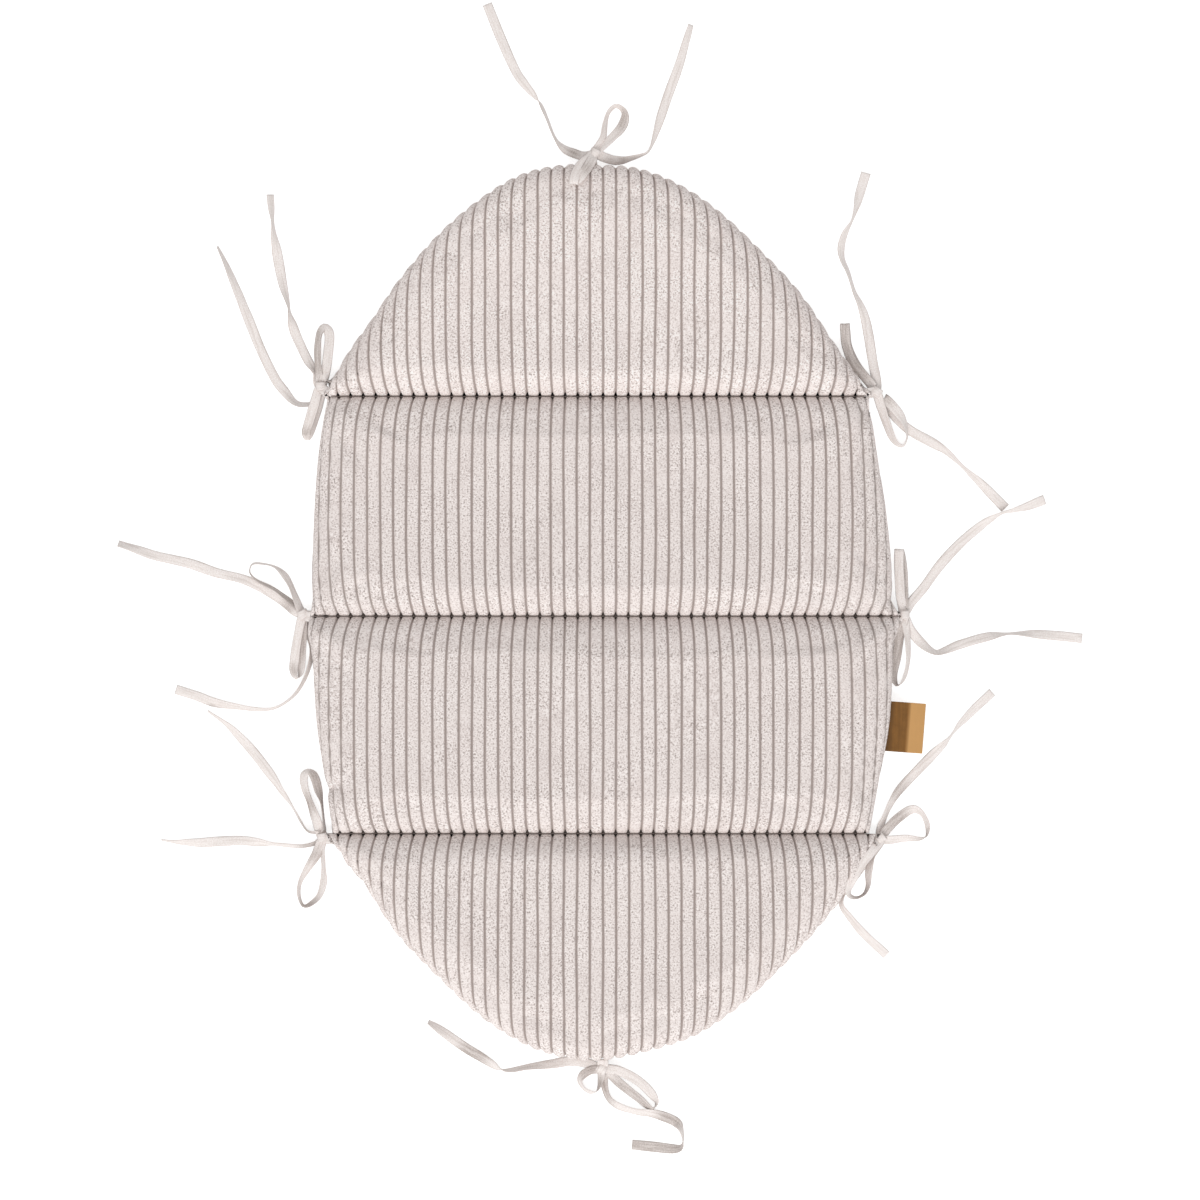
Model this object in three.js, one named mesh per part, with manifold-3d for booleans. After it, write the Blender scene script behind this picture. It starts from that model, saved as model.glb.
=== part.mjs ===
import * as THREE from "three";
import { mergeVertices } from "three/addons/utils/BufferGeometryUtils.js";
import Module from "manifold-3d";

const wasm = await Module();
wasm.setup();

// Mat, seen from above with the head end at +Y
const headLength = 190;
const upperLength = 180;
const lowerLength = 178;
const footLength = 186;
const halfWidth = 238;
const padThickness = 30;
const seamHeight = 13;
const rollWidth = 28;

// Corduroy ribs
const ribPitch = 10.7;
const ribDepth = 1.7;
const ribsEachSide = 23;
const ribStep = 0.5;
const ribEdgeShare = 0.4;

// Cloth
const frontThickness = 2.8;
const backThickness = 1.2;
const frontRim = 1.4;
const backRim = 1;
const coverGap = 0.3;
const cavitySlit = 0.1;
const cavityStartShare = 0.05;
const clearance = 0.3;

// Cross seams
const noseGap = 2;
const seamRadius = noseGap - clearance;
const seamSides = 10;
const seamEndInset = 1.2;
const drawShare = 0.035;
const drawReach = 17;

// Turned-in seam allowance along the outer edge
const allowanceOuter = 2;
const allowanceEnd = 16;
const allowanceInner = 10;
const allowanceThickness = 1;
const fillInset = 10.4;
const fillSeamInset = 12.8;

// Leather tag, folded in half
const tagWidth = 30;
const tagLength = 41;
const tagLayer = 0.9;
const tagSlit = 0.3;
const tagSewn = 8;
const tagBendShare = 0.62;
const tagDroop = 2.2;
const tagTurn = -4.3;
const tagY = -94;
const threadRadius = 0.4;

// Ties
const tieWidth = 8;
const tieThickness = 1.2;
const loopWidth = 4.4;
const loopThickness = 2;
const tailSteps = 10;
const loopSteps = 8;
const sectionFlatShare = 0.5;
const knotSize = [5.4, 5.4, 4.2];

// The routes of the ties are held in picture points of the photograph
const pictureScale = 0.82;
const pictureX = 603;
const pictureY = 612.5;

// Edge curves, as shares of half the width and of the panel's length
const headArchShares = [
  [-0.965, 0], [-0.876, 0.194], [-0.797, 0.332], [-0.7, 0.509], [-0.562, 0.707], [-0.424, 0.853],
  [-0.286, 0.957], [-0.148, 0.998], [0, 1], [0.128, 0.983], [0.266, 0.914], [0.403, 0.797],
  [0.541, 0.634], [0.679, 0.448], [0.817, 0.194], [0.93, 0],
];
const footArchShares = [
  [-0.95, 0], [-0.879, 0.14], [-0.824, 0.221], [-0.772, 0.327], [-0.7, 0.46], [-0.562, 0.642],
  [-0.424, 0.805], [-0.286, 0.92], [-0.148, 0.985], [0, 1], [0.197, 0.947], [0.334, 0.881],
  [0.472, 0.761], [0.61, 0.597], [0.748, 0.407], [0.886, 0.173], [0.945, 0],
];
// Half widths of the middle panels, from their head-side seam to their foot-side seam
const upperLeftShares = [[0, 0.948], [0.25, 0.978], [0.5, 0.993], [0.75, 1.003], [1, 1]];
const upperRightShares = [[0, 0.914], [0.25, 0.942], [0.5, 0.972], [0.75, 0.992], [1, 1]];
const lowerLeftShares = [[0, 1], [0.25, 0.998], [0.5, 0.985], [0.75, 0.957], [1, 0.931]];
const lowerRightShares = [[0, 1], [0.25, 0.999], [0.5, 0.99], [0.75, 0.96], [1, 0.928]];

const archSamples = 32;
const sideSamples = 12;
const cornerLength = 2.5;
const squeezeShare = 0.14;
const rollRowShares = [0, 0.38, 1];
const rollFitShare = 2.3;
const coarseRibs = [23, 22.2, 21.4, 20.4, 18.6, 9];
const coarseArchRibs = [20.9, 20.2, 19, 17.5, 15.5, 13, 10, 7, 3.5];

const seamOneY = (upperLength + lowerLength + footLength - headLength) / 2;
const seamTwoY = seamOneY - upperLength;
const seamThreeY = seamTwoY - lowerLength;
// The tag widens the mat on one side, so the frame's origin sits at the middle of both
const originX = tagWidth / 2;

const quarterTurn = Math.PI / 2;
const rise = (distance) => Math.sin(quarterTurn * Math.min(1, Math.max(0, distance) / rollWidth));
const drawn = (distance) => 1 - drawShare * Math.exp(-distance / drawReach);

const interpolate = (points, value, from, to) => {
  if (value <= points[0][from]) return points[0][to];
  for (let i = 1; i < points.length; i++) {
    const [a, b] = [points[i - 1], points[i]];
    if (value > b[from]) continue;
    const share = (value - a[from]) / (b[from] - a[from] || 1);
    return a[to] + share * (b[to] - a[to]);
  }
  return points[points.length - 1][to];
};

const smoothCurve = (shares, scaleA, scaleB, samples) =>
  new THREE.SplineCurve(shares.map(([a, b]) => new THREE.Vector2(a * scaleA, b * scaleB))).getPoints(samples);

const distanceTo = (line, x, y) => {
  let best = Infinity;
  for (let i = 1; i < line.length; i++) {
    const [ax, ay] = line[i - 1];
    const [dx, dy] = [line[i][0] - ax, line[i][1] - ay];
    const share = Math.min(1, Math.max(0, ((x - ax) * dx + (y - ay) * dy) / (dx * dx + dy * dy)));
    best = Math.min(best, Math.hypot(x - ax - share * dx, y - ay - share * dy));
  }
  return best;
};

// Distances along a column from the seam end to the far end, closer together where the mat rolls over
const rowStops = (length) => {
  const fit = Math.min(1, length / (rollFitShare * rollWidth));
  const rolls = rollRowShares.map((share) => share * rollWidth * fit);
  return [...rolls, length / 2, ...rolls.map((roll) => length - roll).reverse()];
};
const rowCount = 2 * rollRowShares.length + 1;

// A panel that ends in an arch. Distances run outwards from its one seam.
const archPanel = (name, seamY, length, side, shares) => {
  const arch = smoothCurve(shares, halfWidth, length, archSamples).map((p) => [p.x, p.y]);
  const edge = arch.map(([x, out]) => [x * drawn(out), out]);
  const first = arch[0][0] / ribPitch;
  const last = arch[arch.length - 1][0] / ribPitch;
  const lengthAt = (x) => {
    const reach = x < arch[0][0] || x > arch[arch.length - 1][0] ? 0 : interpolate(arch, x, 0, 1);
    return Math.max(reach, noseGap + cornerLength);
  };
  const place = (rib, row) => {
    const x = rib * ribPitch;
    const out = noseGap + rowStops(lengthAt(x) - noseGap)[row];
    return [x * drawn(out), seamY + side * out];
  };
  const fade = (x, y) => {
    const out = side * (y - seamY);
    return rise(out - noseGap) * rise(distanceTo(edge, x, out));
  };
  const fine = [first];
  for (let rib = Math.ceil(first + ribStep); rib < last - ribStep / 2; rib += ribStep) fine.push(rib);
  const kept = coarseArchRibs.filter((rib) => rib < last - ribStep);
  const keptLeft = coarseArchRibs.filter((rib) => -rib > first + ribStep);
  const coarse = [first, ...keptLeft.map((rib) => -rib), 0, ...kept.reverse(), last];
  const inset = (distance, from) => {
    const moved = edge.map(([x, out], i) => {
      const a = edge[Math.max(0, i - 1)];
      const b = edge[Math.min(edge.length - 1, i + 1)];
      const size = Math.hypot(b[0] - a[0], b[1] - a[1]);
      return [x + (distance * (b[1] - a[1])) / size, out - (distance * (b[0] - a[0])) / size];
    });
    const inside = moved.filter(([, out]) => out > from);
    const top = Math.floor(moved.length / 2);
    const start = interpolate(moved.slice(0, top), from, 1, 0);
    const end = interpolate(moved.slice(top).reverse(), from, 1, 0);
    return [[start, from], ...inside, [end, from]].map(([x, out]) => [x, seamY + side * out]);
  };
  return { name, side, place, fade, fine: [...fine, last], coarse, inset, arch: true };
};

// A middle panel between two seams. Distances run from its head-side seam to its foot-side seam.
const middlePanel = (name, seamY, length, leftShares, rightShares) => {
  const stops = rowStops(length - 2 * noseGap).map((stop) => noseGap + stop);
  const edgeOf = (shares) => {
    const smooth = smoothCurve(shares, length, halfWidth, sideSamples).map((p) => [p.x, p.y]);
    return stops.map((out) => [out, interpolate(smooth, out, 0, 1)]);
  };
  const left = edgeOf(leftShares);
  const right = edgeOf(rightShares);
  const halfAt = (sign, out) => interpolate(sign < 0 ? left : right, out, 0, 1);
  const place = (rib, row) => {
    const out = stops[stops.length - 1 - row];
    const half = halfAt(rib, out);
    const draw = drawn(out) * drawn(length - out);
    const limit = (ribsEachSide * ribPitch * draw) / half;
    const share = (Math.abs(rib) * ribPitch * draw) / half;
    const start = 1 - squeezeShare;
    const along = (share - start) / (limit - start);
    const slope = (limit - start) / squeezeShare;
    const squeezed = start + squeezeShare * (slope * along + (1 - slope) * along * along);
    return [Math.sign(rib) * half * (share < start ? share : squeezed), seamY - out];
  };
  const fade = (x, y) => {
    const out = seamY - y;
    return rise(out - noseGap) * rise(length - noseGap - out) * rise(halfAt(x, out) - Math.abs(x));
  };
  const fine = [];
  for (let rib = -ribsEachSide; rib <= ribsEachSide; rib += ribStep) fine.push(rib);
  const coarse = [...coarseRibs.map((rib) => -rib), 0, ...[...coarseRibs].reverse()];
  const sideLine = (sign, distance, from) => {
    const inside = stops.filter((out) => out > from && out < length - from);
    return [from, ...inside, length - from].map((out) => [
      sign * (halfAt(sign, out) - distance), seamY - out,
    ]);
  };
  return { name, place, fade, fine, coarse, sideLine, arch: false };
};

const panels = {
  head: archPanel("head", seamOneY, headLength, 1, headArchShares),
  upper: middlePanel("upper", seamOneY, upperLength, upperLeftShares, upperRightShares),
  lower: middlePanel("lower", seamTwoY, lowerLength, lowerLeftShares, lowerRightShares),
  foot: archPanel("foot", seamThreeY, footLength, -1, footArchShares),
};

// Heights through the mat, from its fade: 0 at a seam or edge, 1 where it is fully stuffed
const rimTop = seamHeight + coverGap / 2 + frontRim;
const cavityRoof = padThickness - frontThickness;
const frontHeight = (fade) => rimTop + (padThickness - rimTop) * fade;
// The cavity opens a little way in from the edge, so that the covers stay whole there
const opened = (fade) => Math.max(0, (fade - cavityStartShare) / (1 - cavityStartShare));
const roofHeight = (fade) =>
  seamHeight + cavitySlit / 2 + (cavityRoof - seamHeight - cavitySlit / 2) * opened(fade);
const floorHeight = (fade) =>
  (seamHeight - cavitySlit / 2) * (1 - opened(fade)) + backThickness * opened(fade);
const backHeight = (fade) => (seamHeight - coverGap / 2 - backRim) * (1 - fade);
const ribDrop = (rib, fade) =>
  ribDepth * (1 - Math.abs(Math.sin(Math.PI * rib))) * (ribEdgeShare + (1 - ribEdgeShare) * fade);

const weld = (geometry) => {
  geometry.deleteAttribute("normal");
  geometry.deleteAttribute("uv");
  return mergeVertices(geometry, 1e-4);
};

const solidFrom = (geometry) => {
  const welded = weld(geometry.index ? geometry.toNonIndexed() : geometry);
  return new wasm.Manifold(
    new wasm.Mesh({
      numProp: 3,
      vertProperties: new Float32Array(welded.attributes.position.array),
      triVerts: new Uint32Array(welded.index.array),
    }),
  );
};

const geometryFrom = (solid) => {
  const mesh = solid.getMesh();
  const positions = new Float32Array(mesh.numVert * 3);
  for (let i = 0; i < mesh.numVert; i++) {
    positions.set(mesh.vertProperties.subarray(i * mesh.numProp, i * mesh.numProp + 3), i * 3);
  }
  const geometry = new THREE.BufferGeometry();
  geometry.setAttribute("position", new THREE.BufferAttribute(positions, 3));
  geometry.setIndex(new THREE.BufferAttribute(new Uint32Array(mesh.triVerts), 1));
  return geometry;
};

// A block whose grid follows a panel's columns and rows, between two heights
const panelBlock = (panel, columns, topOf, bottomOf) => {
  const geometry = weld(new THREE.BoxGeometry(1, 1, 1, columns.length - 1, rowCount - 1, 1));
  const position = geometry.attributes.position;
  for (let i = 0; i < position.count; i++) {
    const column = Math.round((position.getX(i) + 0.5) * (columns.length - 1));
    const row = Math.round((position.getY(i) + 0.5) * (rowCount - 1));
    const forward = panel.side === -1 ? rowCount - 1 - row : row;
    const [x, y] = panel.place(columns[column], panel.arch ? forward : row);
    const fade = panel.fade(x, y);
    const z = position.getZ(i) > 0 ? topOf(fade, columns[column]) : bottomOf(fade, columns[column]);
    position.setXYZ(i, x - originX, y, z);
  }
  return solidFrom(geometry);
};

const prism = (outline, bottom, top) => {
  const shape = new THREE.Shape(outline.map(([x, y]) => new THREE.Vector2(x - originX, y)));
  const geometry = new THREE.ExtrudeGeometry(shape, { depth: top - bottom, bevelEnabled: false });
  return solidFrom(geometry.translate(0, 0, bottom));
};

const largest = (solid) =>
  solid.decompose().reduce((best, piece) => (piece.volume() > best.volume() ? piece : best));

const materials = {
  corduroy: { color: 0xe6dcd7, roughness: 0.95, metalness: 0 },
  backing: { color: 0xe4dbd3, roughness: 0.9, metalness: 0 },
  filling: { color: 0xf5f4f1, roughness: 1, metalness: 0 },
  tie: { color: 0xe2d8d2, roughness: 0.85, metalness: 0 },
  leather: { color: 0x7d5a30, roughness: 0.5, metalness: 0 },
  thread: { color: 0xcfc4bd, roughness: 0.8, metalness: 0 },
};
const lounger = new THREE.Group();
const add = (name, solid, material) => {
  const mesh = new THREE.Mesh(
    geometryFrom(solid),
    new THREE.MeshStandardMaterial(materials[material]),
  );
  mesh.name = name;
  lounger.add(mesh);
};

// Leather tag: a strip folded over itself, its two ends sewn into the edge seam
const tagHalf = tagLayer + tagSlit / 2;
const tagBend = tagWidth * tagBendShare;
const tagProfile = [
  [-tagSewn, tagHalf], [tagBend, tagHalf], [tagWidth - tagLayer, tagHalf - tagDroop],
  [tagWidth, -tagDroop], [tagWidth - tagLayer, -tagHalf - tagDroop], [tagBend, -tagHalf],
  [-tagSewn, -tagHalf], [-tagSewn, -tagSlit / 2], [tagBend, -tagSlit / 2],
  [tagWidth - 2 * tagLayer, -tagSlit / 2 - tagDroop], [tagWidth - 2 * tagLayer, tagSlit / 2 - tagDroop],
  [tagBend, tagSlit / 2], [-tagSewn, tagSlit / 2],
];
const tagEdgeX = halfWidth * interpolate(lowerRightShares, (seamTwoY - tagY) / lowerLength, 0, 1);
const seatTag = (geometry) =>
  geometry
    .rotateX(quarterTurn)
    .translate(0, tagLength / 2, 0)
    .rotateZ(THREE.MathUtils.degToRad(tagTurn))
    .translate(tagEdgeX - originX, tagY, seamHeight);
const tagShape = new THREE.Shape(tagProfile.map(([x, z]) => new THREE.Vector2(x, z)));
const tag = solidFrom(
  seatTag(new THREE.ExtrudeGeometry(tagShape, { depth: tagLength, bevelEnabled: false })),
);
const slotShape = new THREE.Shape([
  new THREE.Vector2(-tagSewn - clearance, -tagHalf - clearance / 2),
  new THREE.Vector2(tagSewn, -tagHalf - clearance / 2),
  new THREE.Vector2(tagSewn, tagHalf + clearance / 2),
  new THREE.Vector2(-tagSewn - clearance, tagHalf + clearance / 2),
]);
const slotLength = tagLength + 2 * clearance;
const tagSlot = solidFrom(
  seatTag(
    new THREE.ExtrudeGeometry(slotShape, { depth: slotLength, bevelEnabled: false }).translate(
      0, 0, -clearance,
    ),
  ),
);
const tagThread = solidFrom(
  new THREE.CylinderGeometry(threadRadius, threadRadius, tagLength, seamSides)
    .translate(threadRadius - tagSewn, 0, tagHalf + clearance + threadRadius)
    .rotateZ(THREE.MathUtils.degToRad(tagTurn))
    .translate(tagEdgeX - originX, tagY, seamHeight),
);
add("leather_tag", tag, "leather");
add("tag_stitching", tagThread, "thread");

// Covers, filling and seam allowance of each panel
for (const panel of Object.values(panels)) {
  const rimFront = seamHeight + coverGap / 2;
  const rimBack = seamHeight - coverGap / 2;
  const cavity = panelBlock(panel, panel.coarse, roofHeight, floorHeight);
  const frontBlock = panelBlock(
    panel, panel.fine, (fade, rib) => frontHeight(fade) - ribDrop(rib, fade), () => rimFront,
  );
  const backBlock = panelBlock(panel, panel.coarse, () => rimBack, backHeight);
  let front = frontBlock.subtract(cavity);
  let back = backBlock.subtract(cavity);
  if (panel.name === "lower") {
    front = front.subtract(tagSlot);
    back = back.subtract(tagSlot);
  }
  add(panel.name + "_front_cover", largest(front), "corduroy");
  add(panel.name + "_back_cover", largest(back), "backing");
  const stuffed = panelBlock(
    panel,
    panel.coarse,
    (fade) => Math.max(roofHeight(fade) - clearance, seamHeight + cavitySlit / 4),
    (fade) => Math.min(floorHeight(fade) + clearance, seamHeight - cavitySlit / 4),
  );
  // The allowance strip keeps its clearance under the front cover and over the back cover
  const allowanceOf = (outline) => {
    const half = allowanceThickness / 2;
    const full = prism(outline, seamHeight - half, seamHeight + half);
    const below = full.subtract(front.translate([0, 0, -clearance]));
    const between = below.subtract(back.translate([0, 0, clearance]));
    return largest(panel.name === "lower" ? between.subtract(tagSlot) : between);
  };
  if (panel.arch) {
    const kept = prism(panel.inset(fillInset, fillSeamInset), 0, padThickness);
    add(panel.name + "_filling", stuffed.intersect(kept), "filling");
    const ring = [
      ...panel.inset(allowanceOuter, allowanceEnd),
      ...panel.inset(allowanceInner, allowanceEnd).reverse(),
    ];
    add(panel.name + "_edge_seam", allowanceOf(ring), "backing");
  } else {
    const inner = [
      ...panel.sideLine(-1, fillInset, fillSeamInset),
      ...panel.sideLine(1, fillInset, fillSeamInset).reverse(),
    ];
    add(panel.name + "_filling", stuffed.intersect(prism(inner, 0, padThickness)), "filling");
    for (const [word, sign] of [["left", -1], ["right", 1]]) {
      const strip = [
        ...panel.sideLine(sign, allowanceOuter, allowanceEnd),
        ...panel.sideLine(sign, allowanceInner, allowanceEnd).reverse(),
      ];
      add(panel.name + "_" + word + "_edge_seam", allowanceOf(strip), "backing");
    }
  }
}

// Cross seams: the pressed band of both covers that each fold turns about
const seams = [
  ["head_cross_seam", seamOneY, upperLeftShares[0][1], upperRightShares[0][1]],
  ["middle_cross_seam", seamTwoY, lowerLeftShares[0][1], lowerRightShares[0][1]],
  ["foot_cross_seam", seamThreeY, lowerLeftShares.at(-1)[1], lowerRightShares.at(-1)[1]],
];
for (const [name, y, left, right] of seams) {
  const from = -left * halfWidth + seamEndInset;
  const to = right * halfWidth - seamEndInset;
  const band = new THREE.CylinderGeometry(seamRadius, seamRadius, to - from, seamSides)
    .rotateZ(quarterTurn)
    .translate((from + to) / 2 - originX, y, seamHeight);
  add(name, solidFrom(band), "corduroy");
}

// Ties. Each point is two picture points and the height above the floor.
const ties = [
  {
    name: "head_tie",
    knot: [594, 154, 12],
    stub: [[591, 163.4, 13], [592, 160, 12.6], [594, 154, 12]],
    loops: [
      [[596, 151, 12], [602, 140, 8], [605, 124, 5], [609, 110, 4], [617, 105, 4], [625, 112, 4],
        [622, 126, 5], [612, 138, 7], [601, 148, 11], [596, 153, 12]],
      [[592, 155, 14], [586, 160, 21], [580, 168, 27], [576, 178, 30], [578, 187, 31], [585, 188, 31],
        [590, 180, 30.5], [591, 170, 27], [593, 160, 20], [594, 156, 14]],
    ],
    tails: [
      [[591, 155, 11], [583, 156, 9], [574, 153, 5], [561, 145, 1.6], [547, 120, 0.9], [536, 96, 0.9],
        [517, 73, 0.9], [501, 38, 0.9], [487, 4, 0.9]],
      [[597, 156, 11], [606, 158, 8], [616, 160, 4], [629, 158, 1.4], [646, 153, 0.9], [655, 142, 0.9],
        [667, 98, 0.9], [680, 62, 0.9], [691, 24, 0.9]],
    ],
  },
  {
    name: "head_left_tie",
    knot: [321, 387, 7.5],
    stub: [[328.3, 393.9, 12.7], [326, 391.6, 11.6], [321, 387, 7.5]],
    loops: [
      [[320, 385, 8], [317, 370, 7], [316, 350, 5], [320, 331, 4.2], [328, 328, 4.2], [332, 338, 4.2],
        [329, 358, 5], [325, 374, 7], [322, 385, 8]],
      [[319, 389, 8], [311, 408, 6.4], [307, 426, 4.6], [308, 437, 4.2], [315, 433, 4.2],
        [319, 418, 4.8], [322, 402, 6.4], [322, 389, 8]],
    ],
    tails: [
      [[318, 383, 5], [312, 371, 3.6], [304, 359, 1.2], [297, 345, 0.9], [291, 320, 0.9],
        [284, 297, 0.9], [279, 270, 0.9], [273, 235, 0.9], [269, 196, 0.9]],
      [[317, 389, 4.4], [309, 397, 1.6], [299, 400, 0.9], [283, 389, 0.9], [272, 368, 0.9],
        [258, 340, 0.9], [240, 300, 0.9], [227, 268, 0.9], [218, 248, 0.9]],
    ],
  },
  {
    name: "head_right_tie",
    knot: [876, 392, 7.5],
    stub: [[867.6, 393.8, 12.7], [870.2, 393.2, 11.6], [876, 392, 7.5]],
    loops: [
      [[875, 390, 8], [865, 372, 6.6], [850, 350, 5], [844, 333, 4.4], [846, 323, 4.2],
        [853, 326, 4.4], [860, 342, 5], [870, 364, 6.6], [876, 390, 8]],
      [[876, 394, 8], [881, 408, 6.6], [887, 426, 5], [895, 441, 4.2], [904, 444, 4.2],
        [907, 435, 4.4], [902, 420, 5.4], [890, 405, 6.6], [878, 393, 8]],
    ],
    tails: [
      [[877, 388, 5], [877, 378, 2.8], [875, 360, 0.9], [868, 330, 0.9], [860, 305, 0.9],
        [853, 288, 0.9], [845, 268, 0.9], [842, 252, 0.9], [847, 234, 0.9], [856, 205, 0.9],
        [865, 174, 0.9]],
      [[880, 396, 5], [890, 410, 2.4], [900, 422, 1], [912, 431, 0.9], [930, 441, 0.9],
        [952, 456, 0.9], [972, 474, 0.9], [988, 490, 0.9], [1001, 503, 0.9]],
    ],
  },
  {
    name: "middle_left_tie",
    knot: [303, 615, 7.5],
    stub: [[311.6, 615.5, 12.6], [309.4, 615.5, 11.4], [303, 615, 7.5]],
    loops: [
      [[302, 613, 8], [294, 595, 6.6], [283, 575, 5.2], [268, 566, 4.4], [254, 564, 4.2],
        [249, 572, 4.2], [258, 581, 4.4], [276, 592, 5.2], [292, 605, 6.6], [302, 615, 8]],
      [[301, 617, 8], [296, 636, 6.6], [291, 660, 5], [290, 675, 4.2], [297, 681, 4.2],
        [302, 672, 4.6], [303, 650, 6], [304, 617, 8]],
    ],
    tails: [
      [[299, 614, 4.4], [290, 606, 2], [278, 596, 0.9], [265, 588, 0.9], [245, 579, 0.9],
        [215, 573, 0.9], [190, 567, 0.9], [152, 555, 0.9], [120, 544, 0.9]],
      [[304, 619, 4.6], [308, 634, 2.4], [309, 652, 0.9], [306, 672, 0.9], [298, 690, 0.9],
        [285, 702, 0.9], [268, 709, 0.9], [247, 708, 0.9], [220, 703, 0.9], [194, 695, 0.9],
        [175, 689, 0.9]],
    ],
  },
  {
    name: "middle_right_tie",
    knot: [904, 615.5, 7.5],
    stub: [[894.4, 616.5, 12.6], [896.6, 616.5, 11.4], [904, 615.5, 7.5]],
    loops: [
      [[903, 613, 8], [900, 595, 6.6], [897, 572, 5], [896, 555, 4.2], [902, 549, 4.2],
        [908, 556, 4.2], [909, 575, 5], [908, 595, 6.6], [905, 613, 8]],
      [[903, 617, 8], [899, 636, 6.6], [895, 658, 5], [893, 677, 4.2], [899, 686, 4.2],
        [906, 674, 4.4], [910, 655, 5], [909, 636, 6.6], [905, 617, 8]],
    ],
    tails: [
      [[906, 611, 4.4], [914, 601, 2], [924, 588, 0.9], [940, 566, 0.9], [958, 546, 0.9],
        [976, 530, 0.9], [995, 518, 0.9], [1012, 512, 0.9], [1029, 505, 0.9], [1046, 500, 0.9]],
      [[906, 620, 4.4], [913, 630, 2], [922, 642, 0.9], [932, 650, 0.9], [944, 651, 0.9],
        [962, 645, 0.9], [985, 638, 0.9], [1010, 635, 0.9], [1035, 634, 0.9], [1060, 636, 0.9],
        [1082, 638, 0.9]],
    ],
  },
  {
    name: "foot_left_tie",
    knot: [322.5, 838, 7.5],
    stub: [[333.4, 837.6, 12.7], [330.4, 837.7, 11.6], [322.5, 838, 7.5]],
    loops: [
      [[321, 836, 8], [314, 815, 6.6], [304, 791, 5], [303, 776, 4.2], [311, 771, 4.2],
        [318, 785, 4.6], [321, 805, 6.2], [323, 836, 8]],
      [[321, 840, 8], [313, 858, 6.6], [302, 878, 5], [299, 896, 4.2], [307, 907, 4.2],
        [318, 899, 4.4], [322, 880, 5.4], [323, 862, 6.6], [324, 840, 8]],
    ],
    tails: [
      [[318, 833, 5.4], [308, 829, 3], [298, 819, 1.2], [287, 802, 0.9], [273, 780, 0.9],
        [256, 758, 0.9], [239, 737, 0.9], [222, 722, 0.9], [209, 712, 0.9]],
      [[318, 842, 4.2], [305, 845, 1.6], [287, 845, 0.9], [262, 842, 0.9], [235, 841, 0.9],
        [205, 842, 0.9], [163, 841, 0.9]],
    ],
  },
  {
    name: "foot_right_tie",
    knot: [880, 838, 9],
    stub: [[871.2, 838.3, 12.7], [874, 838.3, 12], [880, 838, 9]],
    loops: [
      [[881, 837, 9], [888, 827, 7], [899, 816, 5], [912, 809, 4.2], [924, 817, 4.2],
        [930, 831, 4.2], [922, 841, 4.4], [902, 841, 6.2], [880, 839, 9]],
      [[880, 839, 11.5], [878, 848, 17], [872, 856, 20.5], [862, 868, 21.5], [854, 882, 21.5],
        [856, 893, 19.5], [866, 893, 14.5], [873, 882, 10.4], [877, 866, 8.4], [880, 840, 8.6]],
    ],
    tails: [
      [[880, 834, 6], [884, 822, 3], [891, 806, 0.9], [902, 790, 0.9], [916, 774, 0.9],
        [935, 753, 0.9], [955, 733, 0.9], [975, 712, 0.9], [993, 694, 0.9]],
      [[879, 842, 5.4], [879, 852, 2.4], [875, 868, 0.9], [866, 886, 0.9], [858, 902, 0.9],
        [857, 917, 0.9], [863, 931, 0.9], [873, 943, 0.9], [886, 955, 0.9]],
    ],
  },
  {
    name: "foot_tie",
    knot: [602, 1068, 9],
    stub: [[602, 1061, 12.8], [602, 1062.8, 12.2], [602, 1068, 9]],
    loops: [
      [[600, 1068, 9], [591, 1070, 7], [583, 1074, 5], [581, 1082, 4.2], [586, 1092, 4.2],
        [594, 1095, 4.2], [598, 1087, 5.6], [601, 1070, 9]],
      [[604, 1068, 9], [616, 1070, 7.4], [632, 1079, 5.4], [648, 1093, 4.4], [655, 1105, 4.2],
        [647, 1108, 4.4], [634, 1098, 5.4], [619, 1083, 7.2], [604, 1070, 9]],
    ],
    tails: [
      [[598, 1068, 6], [589, 1067, 3], [574, 1065, 0.9], [545, 1067, 0.9], [518, 1069, 0.9],
        [500, 1069, 0.9], [485, 1063, 0.9], [468, 1051, 0.9], [448, 1037, 0.9], [429, 1023, 0.9]],
      [[603, 1072, 5.6], [605, 1084, 2.4], [611, 1098, 0.9], [625, 1107, 0.9], [643, 1111, 0.9],
        [660, 1115, 0.9], [676, 1122, 0.9], [682.5, 1133, 0.9], [683, 1144.5, 0.9],
        [676, 1152.5, 0.9], [660, 1152, 0.9], [633, 1149.5, 0.9]],
    ],
  },
];

const fromPicture = ([px, py, z]) =>
  new THREE.Vector3(
    (px - pictureX) * pictureScale - originX, (pictureY - py) * pictureScale, z,
  );

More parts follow.
